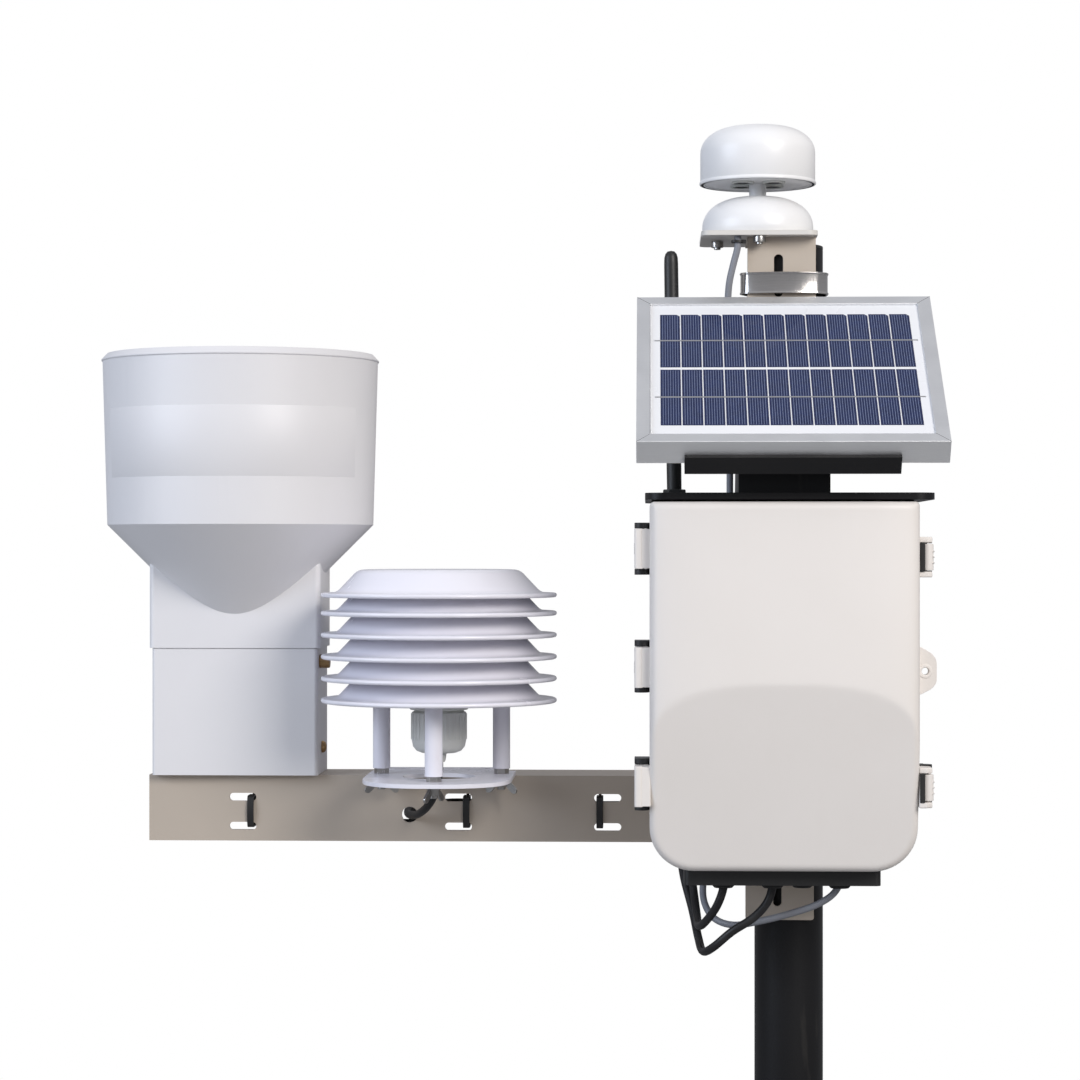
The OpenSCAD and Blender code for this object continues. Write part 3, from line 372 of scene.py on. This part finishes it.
def rounded(points, radius, steps=6):
    """A closed outline with its corners rounded."""
    result = []
    for i, corner in enumerate(points):
        here = Vector(corner)
        back, ahead = Vector(points[i - 1]) - here, Vector(points[(i + 1) % len(points)]) - here
        reach = min(radius, back.length * 0.45, ahead.length * 0.45)
        first, last = here + back.normalized() * reach, here + ahead.normalized() * reach
        for k in range(steps + 1):
            t = k / steps
            result.append(tuple(first * (1 - t) ** 2 + here * 2 * t * (1 - t) + last * t * t))
    return result


def smooth_route(points, steps):
    """Catmull-Rom curve through a route's points."""
    p = [Vector(q) for q in points]
    result = []
    for i in range(len(p) - 1):
        a, b, c, d = p[max(i - 1, 0)], p[i], p[i + 1], p[min(i + 2, len(p) - 1)]
        for k in range(steps):
            t = k / steps
            result.append(0.5 * (2 * b + (c - a) * t + (2 * a - 5 * b + 4 * c - d) * t ** 2
                                 + (3 * b - a - 3 * c + d) * t ** 3))
    return result + [p[-1]]


def dress(names, material, edge=0.4, angle=32):
    """Gives CAD pieces their finish and rounds their edges."""
    for name in names.split():
        part = nodes[name]
        part.data.materials.clear()
        part.data.materials.append(material)
        part.data.shade_smooth()
        soften(part, edge, angle)


# ---------- cables ----------

PROBE_ROUTE = [
    (-259.3, -18, 1047), (-259.3, -18, 1034), (-262, -13, 1019), (-270, 0, 1006), (-279, 16, 999),
    (-286, 32, 998), (-287, 50, 1000), (-277, 62, 1002), (-261, 63, 1004), (-245, 56, 1005),
    (-224, 42, 1005), (-200, 37, 1005), (-170, 37, 1005), (-140, 37, 1005), (-112, 37, 1005),
    (-96, 34, 1004), (-86, 28, 1002), (-80, 16, 996), (-77, 0, 985), (-74, -16, 968),
    (-71, -34, 948), (-69, -52, 933), (-68, -68, 928), (-64, -82, 932), (-56, -91, 944),
    (-51, -94, 958), (-51, -94, 970)]
RAIN_ROUTE = [
    (-375, 69, 1034), (-375, 69, 1020), (-371, 66, 1008), (-358, 58, 999), (-338, 46, 996),
    (-315, 38, 996), (-290, 36, 991), (-265, 37, 994), (-235, 37, 996), (-200, 37, 996),
    (-170, 37, 996), (-140, 37, 996), (-117, 37, 996), (-100, 34, 995), (-90, 27, 993),
    (-84, 14, 987), (-81, -3, 976), (-78, -19, 957), (-72, -36, 935), (-68, -54, 917),
    (-65, -72, 910), (-58, -87, 915), (-45, -94, 927), (-30, -95, 937), (-20, -95, 948),
    (-16, -94, 960), (-16, -94, 970)]
WIND_ROUTE = [
    (-39, -34, 1430), (-39, -34, 1420), (-42, -33, 1408), (-45, -31, 1394), (-46, -27, 1378),
    (-46, -20, 1360), (-45, -14, 1335), (-44, -12, 1300), (-44, -12, 1236), (-44, -12, 1190),
    (-45, -12, 1140), (-45, -12, 1090), (-46, -12, 1040), (-49, -12, 1000), (-56, -18, 978),
    (-63, -30, 960), (-64, -44, 944), (-57, -56, 932), (-43, -65, 928), (-24, -73, 932), (-4, -80, 938),
    (14, -87, 945), (26, -92, 953), (31.5, -94, 962), (31.5, -94, 971)]


def cable(name, node, route, diameter, material):
    """A lead along its route, drawn as a round curve that ends in the case."""
    line = [point * MM for point in smooth_route(route, 6)]
    curve = bpy.data.curves.new(name, "CURVE")
    curve.dimensions = "3D"
    curve.bevel_depth = diameter * MM / 2
    curve.bevel_resolution = 5
    curve.use_fill_caps = True
    spline = curve.splines.new("POLY")
    spline.points.add(len(line) - 1)
    for knot, point in zip(spline.points, line):
        knot.co = (*point, 1)
    curve.materials.append(material)
    cord = bpy.data.objects.new(name, curve)
    scene.collection.objects.link(cord)
    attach(cord, "root")
    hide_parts(node)
    length = sum((b - a).length for a, b in zip(line, line[1:]))


cable("probe_lead", "probe_cable", PROBE_ROUTE, 6, BLACK_JACKET)
cable("rain_lead", "rain_cable", RAIN_ROUTE, 6, BLACK_JACKET)
cable("wind_lead", "wind_cable", WIND_ROUTE, 5, GREY_JACKET)

# ---------- enclosure ----------

CASE_X, CASE_HALF, CASE_LOW, CASE_TOP = -10.2, 93.2, 974.0, 1232.0
DOOR_FRONT, DOOR_BACK, DOOR_BOW, DOOR_SKIN = -164, -124.4, 12, 3.0
DOOR_POWER = 2.8
FOOT_DEPTH, SLOPE = -132, 32 / 132
EDGE_ROUND = 5.0
LOW_CORNER, TOP_CORNER = 31, 3.5
HINGE_HEIGHTS = (1199.5, 1116.8, 1034.1)
LATCH_HEIGHTS = (1193.7, 1034)


def case_ring(inset):
    """The enclosure's front outline, moved inwards, as (x, z) with an even number of steps."""
    half, low, top = CASE_HALF - inset, CASE_LOW + inset, CASE_TOP - inset
    arcs = []
    for side, edge, radius, start in ((1, low, LOW_CORNER, -90), (1, top, TOP_CORNER, 0),
                                      (-1, top, TOP_CORNER, 90), (-1, low, LOW_CORNER, 180)):
        r = min(max(radius - inset, 0.01), half) if half > 0.02 else 0.0
        middle = (CASE_X + side * (half - r), edge + (r if edge == low else -r))
        arcs.append([(middle[0] + r * math.cos(a), middle[1] + r * math.sin(a))
                     for a in (math.radians(start + 90 * k / 14) for k in range(15))])
    ring = []
    for i, arc in enumerate(arcs):
        ring += arc
        start, end = Vector(arc[-1]), Vector(arcs[(i + 1) % 4][0])
        steps = 88 if i % 2 == 0 else 44
        ring += [tuple(start.lerp(end, k / steps)) for k in range(1, steps)]
    return ring


def door_face(x, z):
    """Depth of the door's face: bowed across, and sloping back below."""
    across = min(abs(x - CASE_X) / CASE_HALF, 1)
    bowed = DOOR_FRONT + DOOR_BOW * (1 - (1 - across ** DOOR_POWER) ** (1 / DOOR_POWER))
    sloped = FOOT_DEPTH - (z - CASE_LOW) * SLOPE
    crease = math.hypot(bowed - sloped, 0.35)
    return (bowed + sloped + crease) / 2


def door_ring(inset, behind=0.0):
    """One ring of the door's face, or of its inner face when it is some way behind."""
    reach = max(EDGE_ROUND - inset + behind, 0)
    fall = EDGE_ROUND - math.sqrt(max(EDGE_ROUND ** 2 - reach ** 2, 0))
    return [(x, min(door_face(x, z) + fall + behind, DOOR_BACK - 2), z)
            for x, z in case_ring(inset)]


outer_steps = [0, 0.1, 0.4, 0.9, 1.6, 2.5, 3.6] + [5 + 88.2 * k / 72 for k in range(73)]
inner_steps = [93.2, 80, 60, 45, 30, 20, 12, 8, 5, 3]
door = Shape()
door.loft([door_ring(d, DOOR_SKIN) for d in inner_steps]
          + [[(x, DOOR_BACK - forward, z) for x, z in case_ring(inset)]
             for inset, forward in ((3, 0), (0.4, 0), (0, 0.4))]
          + [door_ring(d) for d in outer_steps], caps=False)
door.piece("door_shell", CASE_WHITE, "white_plastic", "door", ["enclosure_door"])


def rectangle(x0, y0, x1, y1):
    return [(x0, y0), (x1, y0), (x1, y1), (x0, y1)]


HINGE_X, HINGE_Y = -109.0, -120.0
PIN_BORE = 2.1
leaves, notches = Shape(), Shape()
for z in HINGE_HEIGHTS:
    spot = at(HINGE_X, HINGE_Y, z)
    knuckle = rounded(rectangle(-5, -5, 5, 5), 4.9, 8)
    leaves.plate(knuckle, (0, 0), PIN_BORE, -14, 14, spot)
    leaves.prism(rounded(rectangle(-5, -26, 1, -2), 2.4), -14, 14, spot)
    leaves.prism(rounded(rectangle(-4, -25.5, 6.4, -4.6), 1.2), -13.6, 13.6, spot)
    notches.box((-5.15, -18, -4), (-4.4, -9, 4), spot)
leaves.piece("door_hinge_leaves", CASE_WHITE, "white_plastic", "door", edge=0.9)
notches.piece("hinge_snap_slots", BLACK_NYLON, "black_plastic", "door", edge=0.3)

TAB = [(80.5, -16), (80.5, 16.5), (85, 17.5), (93.5, 12.4), (96.8, 8), (96.8, -8),
       (93.5, -12.2), (85, -16.6)]
LOCK_X, LOCK_BORE = 88.8, 2.5
TAB_PLACE = at(0, -124.5, 1114) @ TO_FRONT
lock = Shape()
lock.plate(rounded(TAB[::-1], 2.5), (LOCK_X, 0), LOCK_BORE, 0, 3.2, TAB_PLACE)
lock.lathe([(2.55, 3.1), (2.9, 3.7), (4.6, 3.7), (5.2, 3.1)], TAB_PLACE @ at(LOCK_X, 0, 0), 48)
lock.piece("door_lock_tab", CASE_WHITE, "white_plastic", "door", edge=0.7)

RIB = [(92.4, -144), (93.3, -142.4), (93.3, -139.6), (92.4, -138)]
for name, z in zip(("upper", "lower"), LATCH_HEIGHTS):
    ribs = Shape()
    for k in (-4, 0, 4):
        ribs.tube([(x, y, z + k) for x, y in RIB], 0.55, 8)
    ribs.piece("lever_grip_" + name, CASE_WHITE, "white_plastic", "lever_" + name)

latch_backs = Shape()
for z in LATCH_HEIGHTS:
    latch_backs.box((83.4, -147.2, z - 10), (86.9, -145.2, z + 10))
latch_backs.piece("latch_backs", BLACK_NYLON, "black_plastic", "door", edge=0.3)

ENTRY_Y = -94
collars = Shape()
for x, bore in ((-51, 3.2), (-16, 3.2), (31.5, 2.7)):
    collar = [(bore, 958.6), (6.5, 958.6), (7.6, 959.8), (7.6, 962), (bore, 962)]
    collars.lathe(collar, at(x, ENTRY_Y, 0), 48)
plug = [(0, 958.9), (6, 958.9), (7.4, 960.2), (7.4, 962), (0, 962)]
collars.lathe(plug, at(5, ENTRY_Y, 0), 48)
collars.piece("entry_grommets", SEAL, "black_rubber")

dress("enclosure_base latch_keepers", CASE_WHITE, 0.8)
dress("latch_lever_upper latch_lever_lower", CASE_WHITE, 0.7)
dress("hinge_brackets latch_brackets gland_strip", BLACK_NYLON, 0.5)
dress("roof_plate", BLACK_PAINT, 1.0)
dress("door_gasket", SEAL, 0.6)
dress("battery", BLACK_NYLON, 1.5)
dress("logger_box", BOX_GREY, 1.2)
dress("case_screws", BOLT_STEEL, 0.4)

# ---------- mast, plates and bands ----------

dress("mast", BLACK_PAINT, 0.3)
dress("mast_cap", BLACK_NYLON, 0.8)
dress("mast_foot tripod_hub leg_left leg_front leg_back", BLACK_PAINT, 0.8)
dress("hub_knobs", BLACK_NYLON, 2.0)
dress("leg_bolts arm_bolts tilt_bolts", BOLT_STEEL, 0.5)
dress("back_plate arm_channel wind_bracket", GREIGE_PAINT, 0.45)
dress("wind_plate", PALE_PAINT, 0.5)

ARM_BAND = [(-33.3, -28.8), (17.3, -28.8), (24.6, -12), (26, -4), (26.2, 6), (25.6, 28.8),
            (-25.3, 28.8)]
WIND_BAND_Z, WIND_BAND_RADIUS = 1394.4, 26.4
WIND_BAND = ([(x, -33.4 + 5.2 * abs((x + 4.6) / 29) ** 2.2) for x in range(-32, 24, 4)]
             + [(25.4, -25.4), (27, -20), (27.2, -12)]
             + [(WIND_BAND_RADIUS * math.cos(a), WIND_BAND_RADIUS * math.sin(a))
                for a in (math.radians(k) for k in range(0, 181, 15))]
             + [(-33, -14), (-35.8, -20), (-35.2, -25.6)])


def strap_section(height):
    """Rolled edges on a thin steel strip."""
    half = height / 2
    low = [(0, -half + 0.2), (0.2, -half), (1.0, -half), (1.3, -half + 0.3), (1.3, -half + 1.1),
           (0.75, -half + 1.8)]
    return low + [(out, -z) for out, z in reversed(low)]


def worm_screw(shape, place):
    """Housing and slotted screw of a hose clamp; X points out of the band, Y along it."""
    shape.loft([[(x, y, z) for y, z in rounded(rectangle(-9, -7.6, 9, 7.6), 3)]
                for x in (0, 1.4)], place=place)
    arch = [(1.2, -6.4), (5, -6.4), (8, -3.6), (8, 3.6), (5, 6.4), (1.2, 6.4)]
    shape.loft([[(x, y, z) for x, z in rounded(arch, 2.4)] for y in (-6.5, 6.5)], place=place)
    head = [(0, 0), (4.2, 0), (4.2, 4.4), (3.7, 5.0), (0.7, 5.0), (0.7, 4.0), (0, 4.0)]
    shape.lathe(head, place @ at(4.6, -6.2, 0) @ TO_FRONT, 6)


bands = Shape()
for z in (961.5, 1052):
    bands.strap(rounded(ARM_BAND, 3, 8), strap_section(15), at(0, 0, z))
    worm_screw(bands, at(27.3, 2, z))
bands.strap(rounded(WIND_BAND, 1.5, 4), strap_section(15.8), at(0, 0, WIND_BAND_Z))
worm_screw(bands, at(-18, 21, WIND_BAND_Z) @ turn(z=128))
bands.piece("hose_clamps", STAINLESS, "steel", stands_for=["mast_bands"], edge=0.12, angle=40)

# ---------- cable ties ----------

ties = Shape()
tie_heads = Shape()
TIE_LOOP = rounded([(25.9, 1005), (25.4, 1000), (25.9, 995), (27.2, 987.9), (44.6, 987.9),
                    (44.6, 1012.1), (27.2, 1012.1)], 3.0, 8)
TIE_SECTION = [(-2.5, 0.15), (-2.2, 0), (2.2, 0), (2.5, 0.15), (2.5, 1.05), (2.2, 1.2),
               (-2.2, 1.2), (-2.5, 1.05)]
for x in (-406, -242, -141):
    rings = []
    for i, here in enumerate(TIE_LOOP):
        along = (Vector(TIE_LOOP[(i + 1) % len(TIE_LOOP)]) - Vector(TIE_LOOP[i - 1])).normalized()
        rings.append([(x + w, here[0] - along.y * d, here[1] + along.x * d) for w, d in TIE_SECTION])
    ties.loft(rings, True)
    tie_heads.box((x - 4, 44.0, 996.5), (x + 4, 48.6, 1003))
    ties.tube([(x, 46.2, 1003), (x, 47, 1012), (x + 0.6, 49.4, 1018)], 1.1, 8)
ties.piece("cable_ties", BLACK_NYLON, "black_plastic", stands_for=["zip_ties"], edge=0.15, angle=50)
tie_heads.piece("cable_tie_heads", BLACK_NYLON, "black_plastic", edge=0.8)

# ---------- antenna ----------

AERIAL = at(-85, -12, 1238.4)
whip = [(0, 3), (5.4, 3), (5.5, 20), (5.4, 60), (5.2, 172), (5.0, 176.5), (4.2, 179.4),
        (2.6, 181.2), (0, 181.8)]
aerial = Shape()
aerial.lathe([(0, 0), (8.5, 0), (8.5, 4.4), (7.9, 5), (0, 5)], AERIAL, 6)
aerial.lathe([(0, -9), (4, -9), (4, 0), (0, 0)], AERIAL, 32)
aerial.lathe([(0, -10), (7, -10), (7, -5.2), (0, -5.2)], AERIAL, 6)
aerial.lathe(whip, AERIAL @ turn(y=-0.8), 40)
aerial.piece("aerial", BLACK_NYLON, "black_plastic", stands_for=["antenna"], edge=0.3, angle=40)

# ---------- solar panel ----------

PANEL = at(-6.2, -119.5, 1327.5) @ turn(x=36.7)
dress("panel_pedestal panel_cradle", BLACK_PAINT, 0.8)
dress("panel_frame", ANODISED, 0.5)
dress("panel_junction_box", BLACK_NYLON, 1.0)

GLASS = -1.7
COLUMNS, CELL_W, PITCH = 12, 14.2, 15.0
ROW_H, ROW_GAP, CLIP = 69.5, 3.0, 2.2
FINGER_HALF, RIBBON_HALF, RIBBON_REACH = 0.12, 0.7, 93.5
FRAME_X, FRAME_Y, FRAME_FACE = 106.1, 92.7, 9.4
cells, fingers, ribbons, mitres = Shape(), Shape(), Shape(), Shape()
for row in (0, 1):
    y0 = ROW_GAP / 2 if row else -ROW_GAP / 2 - ROW_H
    y1 = y0 + ROW_H
    for column in range(COLUMNS):
        x0 = (column - COLUMNS / 2) * PITCH + (PITCH - CELL_W) / 2
        x1 = x0 + CELL_W
        clip = CLIP if row else 0.01
        outline = [(x0, y0), (x1, y0), (x1, y1 - clip), (x1 - clip, y1), (x0, y1)]
        cells.prism(outline, GLASS, GLASS + 0.1)
        for k in range(1, 8):
            x = x0 + CELL_W * k / 8
            fingers.box((x - FINGER_HALF, y0 + 1, GLASS + 0.1),
                        (x + FINGER_HALF, y1 - 1, GLASS + 0.14))
    middle = (y0 + y1) / 2
    ribbons.box((-RIBBON_REACH, middle - RIBBON_HALF, GLASS),
                (RIBBON_REACH, middle + RIBBON_HALF, GLASS + 0.2))
for sx in (-1, 1):
    for sy in (-1, 1):
        corner = Vector((sx * FRAME_X, sy * FRAME_Y))
        inner = Vector((sx * (FRAME_X - FRAME_FACE), sy * (FRAME_Y - FRAME_FACE)))
        across = Vector((sy, -sx)).normalized() * 0.12
        loop = [corner + across, corner - across, inner - across, inner + across]
        mitres.prism([tuple(p) for p in loop], -0.4, 0.03)
sheet = Shape()
sheet.box((-104, -90.6, -5.7), (104, 90.6, GLASS))
sheet.piece("panel_sheet", BACKSHEET, "solar_glass", "panel", ["panel_laminate"], 0.1, place=PANEL)
cells.piece("solar_cells", CELL_BLUE, "solar_glass", "panel", place=PANEL)
fingers.piece("cell_fingers", FINGERS, "solar_glass", "panel", place=PANEL)
ribbons.piece("cell_ribbons", RIBBON, "steel", "panel", place=PANEL)
mitres.piece("frame_mitres", GROOVE, "alu", "panel", place=PANEL)

# ---------- wind sensor ----------

SENSOR_X = -23
SENSOR = at(SENSOR_X, 0, 0)
PLATE_Z = 1428.5


def dome(radius, low, high, side, flat, power, skin=2.6):
    """Half section of a hollow dome with a straight side below its shoulder."""
    def shell(r, top, f):
        shoulder = low + side
        return [(f + (r - f) * math.cos(a) ** (2 / power),
                 shoulder + (top - shoulder) * math.sin(a) ** (2 / power))
                for a in (math.radians(90 * k / 40) for k in range(41))]
    outer = [(radius - 0.5, low), (radius, low + 0.6)] + shell(radius, high, flat) + [(0, high)]
    inner = shell(radius - skin, high - skin, flat)
    return outer + [(0, high - skin)] + inner[::-1] + [(radius - skin, low)]


lower, upper = Shape(), Shape()
lip = [(40.4, 1470), (42.9, 1470), (43.3, 1470.5), (43.3, 1471.4), (42.7, 1472.6), (40.4, 1472.6)]
lower.lathe(dome(41.2, 1432, 1461, 5, 5, 2.25), SENSOR, 128)
upper.lathe(dome(42.6, 1470, 1513, 23, 14, 2.1), SENSOR, 128)
upper.lathe(lip, SENSOR, 128)
lower.piece("sensor_lower_dome", DOME_WHITE, "white_gloss", stands_for=["wind_lower_shell"], angle=40)
upper.piece("sensor_upper_dome", DOME_WHITE, "white_gloss", stands_for=["wind_upper_shell"], angle=40)
dress("wind_post", DOME_WHITE, 0.5, 50)
RIM_PROFILE = [(6.6, 0), (8.2, 0), (8.5, 0.3), (8.5, 1.4), (6.6, 1.4)]
FACE_PROFILE = [(0, 0.5), (2, 0.45), (2.2, 0.9), (3.8, 0.9), (4, 0.45), (5.4, 0.5), (6.6, 0.9),
                (6.6, 1.4), (0, 1.4)]
rims, faces = Shape(), Shape()
for x in (-11.4, 11.4):
    for y in (-11.6, 11.6):
        spot = at(SENSOR_X + x, y, 1469.6)
        rims.lathe(RIM_PROFILE, spot, 48)
        faces.lathe(FACE_PROFILE, spot, 48)
rims.piece("transducer_rims", FITTING_GREY, "grey_plastic", stands_for=["wind_transducers"],
           edge=0.1)
faces.piece("transducer_faces", BLACK_NYLON, "black_plastic")
screws = Shape()
shank = [(0, -6.5), (2.2, -6.5), (2.5, -6.2), (2.5, 3.4), (0, 3.4)]
nut = [(2.5, -5), (3.9, -5), (4.3, -4.6), (4.3, -0.6), (4.0, -0.1), (2.5, -0.1)]
for x, y in ((SENSOR_X, -36), (-53, 0), (SENSOR_X, 37)):
    screws.lathe(shank, at(x, y, PLATE_Z), 24)
    screws.lathe(nut, at(x, y, PLATE_Z), 36, 0.28)
screws.lathe([(0, -3), (2.5, -3), (2.5, 3.4), (0, 3.4)], at(12, 0, PLATE_Z), 24)
screws.piece("sensor_screws", BOLT_STEEL, "steel", stands_for=["wind_screws"], edge=0.12, angle=50)
LEAD_TIE = at(-39.3, -34, 1424.4)
tie = Shape()
tie.strap(rounded(rectangle(-3.6, -3.4, 3.6, 3.4), 3.0, 6), rectangle(0, -1.0, 0.7, 1.0), LEAD_TIE)
tie.box((3.2, -2.0, -1.2), (6.6, 2.0, 1.2), LEAD_TIE)
tie.piece("sensor_tie", BLACK_NYLON, "black_plastic", edge=0.2)

# ---------- rain gauge ----------

RAIN = at(-417, 53, 0)
dress("rain_funnel rain_base", GAUGE_WHITE, 0.6, 40)
dress("rain_screen bucket_axle", BOLT_STEEL, 0.15)
dress("tipping_bucket", GAUGE_WHITE, 0.4)
dress("bucket_bridge", BLACK_NYLON, 0.4)
dress("reed_switch", BOARD, 0.3)
brass = Shape()
knob = [(0, 56), (3, 56), (3, 63.1), (4.6, 63.1), (5, 63.5), (5, 70.2), (4.5, 71), (0, 71)]
brass.lathe(knob, at(0, -21, 1114) @ TO_X, 40, 0.2)
brass.piece("thumbscrew", BRASS, "brass", stands_for=["rain_side_screws"], edge=0.1, angle=50,
            place=RAIN)
heads = Shape()
head = [(0, 57), (2, 57), (2, 63.1), (4.6, 63.1), (4.5, 64.6), (3.4, 66), (1.6, 66.6),
        (1.6, 65.4), (0, 65.4)]
for facing in (turn(y=-90), TO_X):
    heads.lathe(head, at(0, -6, 1048) @ facing, 36)
heads.piece("gauge_screws", BRASS, "brass", edge=0.1, angle=50, place=RAIN)

# A blank film on the collector's side
FILM_LOW, FILM_HIGH = 1253.0, 1305.0
FILM_START, FILM_SWEEP, FILM_STEPS = -152, 126, 90
DRUM_LOW, DRUM_HIGH = 1217.7, 1342
DRUM_LOW_RADIUS, DRUM_HIGH_RADIUS = 101.5, 105.1


def collector_radius(z):
    """Outside radius of the collector's drum, which widens upwards."""
    widening = (DRUM_HIGH_RADIUS - DRUM_LOW_RADIUS) / (DRUM_HIGH - DRUM_LOW)
    return DRUM_LOW_RADIUS + (z - DRUM_LOW) * widening


film = Shape()
rows = []
angles = [math.radians(FILM_START + FILM_SWEEP * k / FILM_STEPS) for k in range(FILM_STEPS + 1)]
for z, out in ((FILM_LOW, 0.02), (FILM_LOW + 0.2, 0.12), (FILM_HIGH - 0.2, 0.12),
               (FILM_HIGH, 0.02)):
    r = collector_radius(z) + out
    rows.append([(math.cos(a) * r, math.sin(a) * r, z) for a in angles])
back = [[(x * 0.9988, y * 0.9988, z) for x, y, z in row] for row in (rows[0], rows[-1])]
grid = [list(column) for column in zip(*(rows + back[::-1]))]
film.loft(grid)
film.piece("blank_film", FILM, "white_plastic", "funnel", place=RAIN)

# ---------- radiation shield ----------

SHIELD = at(-259.3, -18, 0)
POSTS = [(0, -52), (45.033, 26), (-45.033, 26)]
dress("shield_spacers shield_base_plate", SHIELD_WHITE, 0.4)
LOUVRES = (1165.3, 1151.9, 1135.8, 1119.7, 1103.6, 1087.5)
RIM_RADIUS, RIM_HALF = 87.35, 1.65


def louvre(z, bore):
    """Half section of a louvre whose rim is at z."""
    rim = [(RIM_RADIUS + 1.6 * (math.cos(a) - 1), RIM_HALF * math.sin(a))
           for a in (math.radians(k) for k in range(75, -76, -25))]
    top = [(bore, 16.1), (bore, 18.5), (bore + 0.4, 18.9), (54, 18.9), (56.8, 18.7),
           (59.2, 18.1), (61.2, 17.0), (62.9, 15.6), (64.4, 13.9), (73.2, 4.6), (74.7, 3.3),
           (76.4, 2.4), (78.6, 1.85), (81.5, RIM_HALF), (84, RIM_HALF)]
    below = [(84, -RIM_HALF), (76.2, -RIM_HALF), (75.0, -1.2), (61.6, 14.4), (60.4, 15.4),
             (58.6, 16.1)]
    return [(r, z + up) for r, up in top + rim + below]


cap, blades = Shape(), Shape()
cap.lathe(louvre(LOUVRES[0], 0), sides=144)
for z in LOUVRES[1:]:
    blades.lathe(louvre(z, 14.2 if z == LOUVRES[-1] else 44), sides=144)
cap.piece("shield_top", SHIELD_WHITE, "white_plastic", stands_for=["shield_cap"], angle=40,
          place=SHIELD)
blades.piece("shield_blades", SHIELD_WHITE, "white_plastic", stands_for=["shield_louvres"],
             angle=40, place=SHIELD)
dress("shield_rods", BOLT_STEEL, 0.3)
dress("humidity_probe", FITTING_GREY, 0.8)

gland = Shape()
gland.lathe([(8.2, 1060), (3.3, 1060), (3.3, 1041.5), (4.2, 1041.5), (5.0, 1043), (5.6, 1047.6),
             (7.4, 1048.2), (13, 1048.6), (16.6, 1050), (19.2, 1053.2), (20.2, 1058),
             (20.2, 1078.4), (18.6, 1079.2), (18, 1080.4), (21.3, 1080.4), (21.7, 1081.2),
             (21.3, 1082), (14, 1082), (14, 1107), (8.2, 1107)], sides=96)
GRIP_RIBS = 30
for k in range(GRIP_RIBS):
    rib = [(19.6, -1.1), (20.75, -0.8), (20.75, 0.8), (19.6, 1.1)]
    gland.prism(rib, 1058.5, 1077.6, turn(z=360 / GRIP_RIBS * k))
gland.piece("probe_fitting", FITTING_GREY, "grey_plastic", stands_for=["probe_gland"], edge=0.25,
            angle=40, place=SHIELD)

wings = Shape()
for (x, y), angle in zip(POSTS, (62, -24, 14)):
    spot = at(x, y, 1021) @ turn(z=angle)
    wings.lathe([(3.05, 0), (4.0, 0), (4.7, 0.8), (5.2, 6.9), (3.05, 6.9)], spot, 32)
    for side in (0, 180):
        blade = rounded([(3.4, 5.8), (8.4, 3.2), (13.2, -1.6), (12.4, -4.6), (9.4, -4.9), (3.6, 1.0)], 2.2)
        wings.loft([[(px, py, pz) for px, pz in blade] for py in (-0.95, 0.95)], place=spot @ turn(z=side))
wings.piece("wing_nuts", BOLT_STEEL, "steel", stands_for=["shield_wing_nuts"], edge=0.3, place=SHIELD)

# ---------- floor and light ----------

FLOOR_RADIUS_M, FLOOR_LEVEL_M, FLOOR_SIDES = 3.4, -0.0005, 96
floor = bpy.data.meshes.new("floor")
angles = [2 * math.pi * k / FLOOR_SIDES for k in range(FLOOR_SIDES)]
disc = [(FLOOR_RADIUS_M * math.cos(a), FLOOR_RADIUS_M * math.sin(a), FLOOR_LEVEL_M) for a in angles]
floor.from_pydata(disc, [], [tuple(range(FLOOR_SIDES))])
floor.materials.append(Finish("pale floor").look(rgb(0.3, 0.3, 0.3), 0.7))
floor_object = bpy.data.objects.new("floor", floor)
scene.collection.objects.link(floor_object)


def lamp(name, spot, target, size, power, colour):
    """A round area light that faces its target."""
    data = bpy.data.lights.new(name, "AREA")
    data.shape = "DISK"
    data.size = size
    data.energy = power
    data.color = colour
    light = bpy.data.objects.new(name, data)
    light.location = spot
    light.rotation_euler = (Vector(target) - Vector(spot)).to_track_quat("-Z", "Y").to_euler()
    scene.collection.objects.link(light)


lamp("key", (1.5, -2.3, 2.5), (-0.15, 0, 1.15), 1.5, 66, (1, 0.965, 0.93))
lamp("fill", (-2.6, -1.5, 2.0), (-0.2, 0, 1.15), 1.8, 42, (0.76, 0.85, 1))
lamp("back", (-0.6, 2.2, 2.6), (-0.2, 0, 1.2), 1.6, 3, (0.95, 0.96, 1))

# The camera sees a white wall; the room's own light is stronger from above
world = bpy.data.worlds.new("studio")
scene.world = world
world.use_nodes = True
sky = world.node_tree
sky.nodes.clear()
room = sky.nodes.new("ShaderNodeBackground")
room.inputs["Color"].default_value = rgb(0.93, 0.94, 1.0)
direction = sky.nodes.new("ShaderNodeTexCoord")
height = sky.nodes.new("ShaderNodeSeparateXYZ")
fade = sky.nodes.new("ShaderNodeMapRange")
for socket, value in zip(("From Min", "From Max", "To Min", "To Max"), (-0.5, 0.7, 0.12, 0.5)):
    fade.inputs[socket].default_value = value
sky.links.new(direction.outputs["Generated"], height.inputs[0])
sky.links.new(height.outputs["Z"], fade.inputs["Value"])
sky.links.new(fade.outputs[0], room.inputs["Strength"])
wall = sky.nodes.new("ShaderNodeBackground")
wall.inputs["Color"].default_value = rgb(1, 1, 1)
wall.inputs["Strength"].default_value = 1.0
path = sky.nodes.new("ShaderNodeLightPath")
choose = sky.nodes.new("ShaderNodeMixShader")
result = sky.nodes.new("ShaderNodeOutputWorld")
sky.links.new(path.outputs["Is Camera Ray"], choose.inputs[0])
sky.links.new(room.outputs[0], choose.inputs[1])
sky.links.new(wall.outputs[0], choose.inputs[2])
sky.links.new(choose.outputs[0], result.inputs[0])
scene.view_settings.view_transform = "Standard"
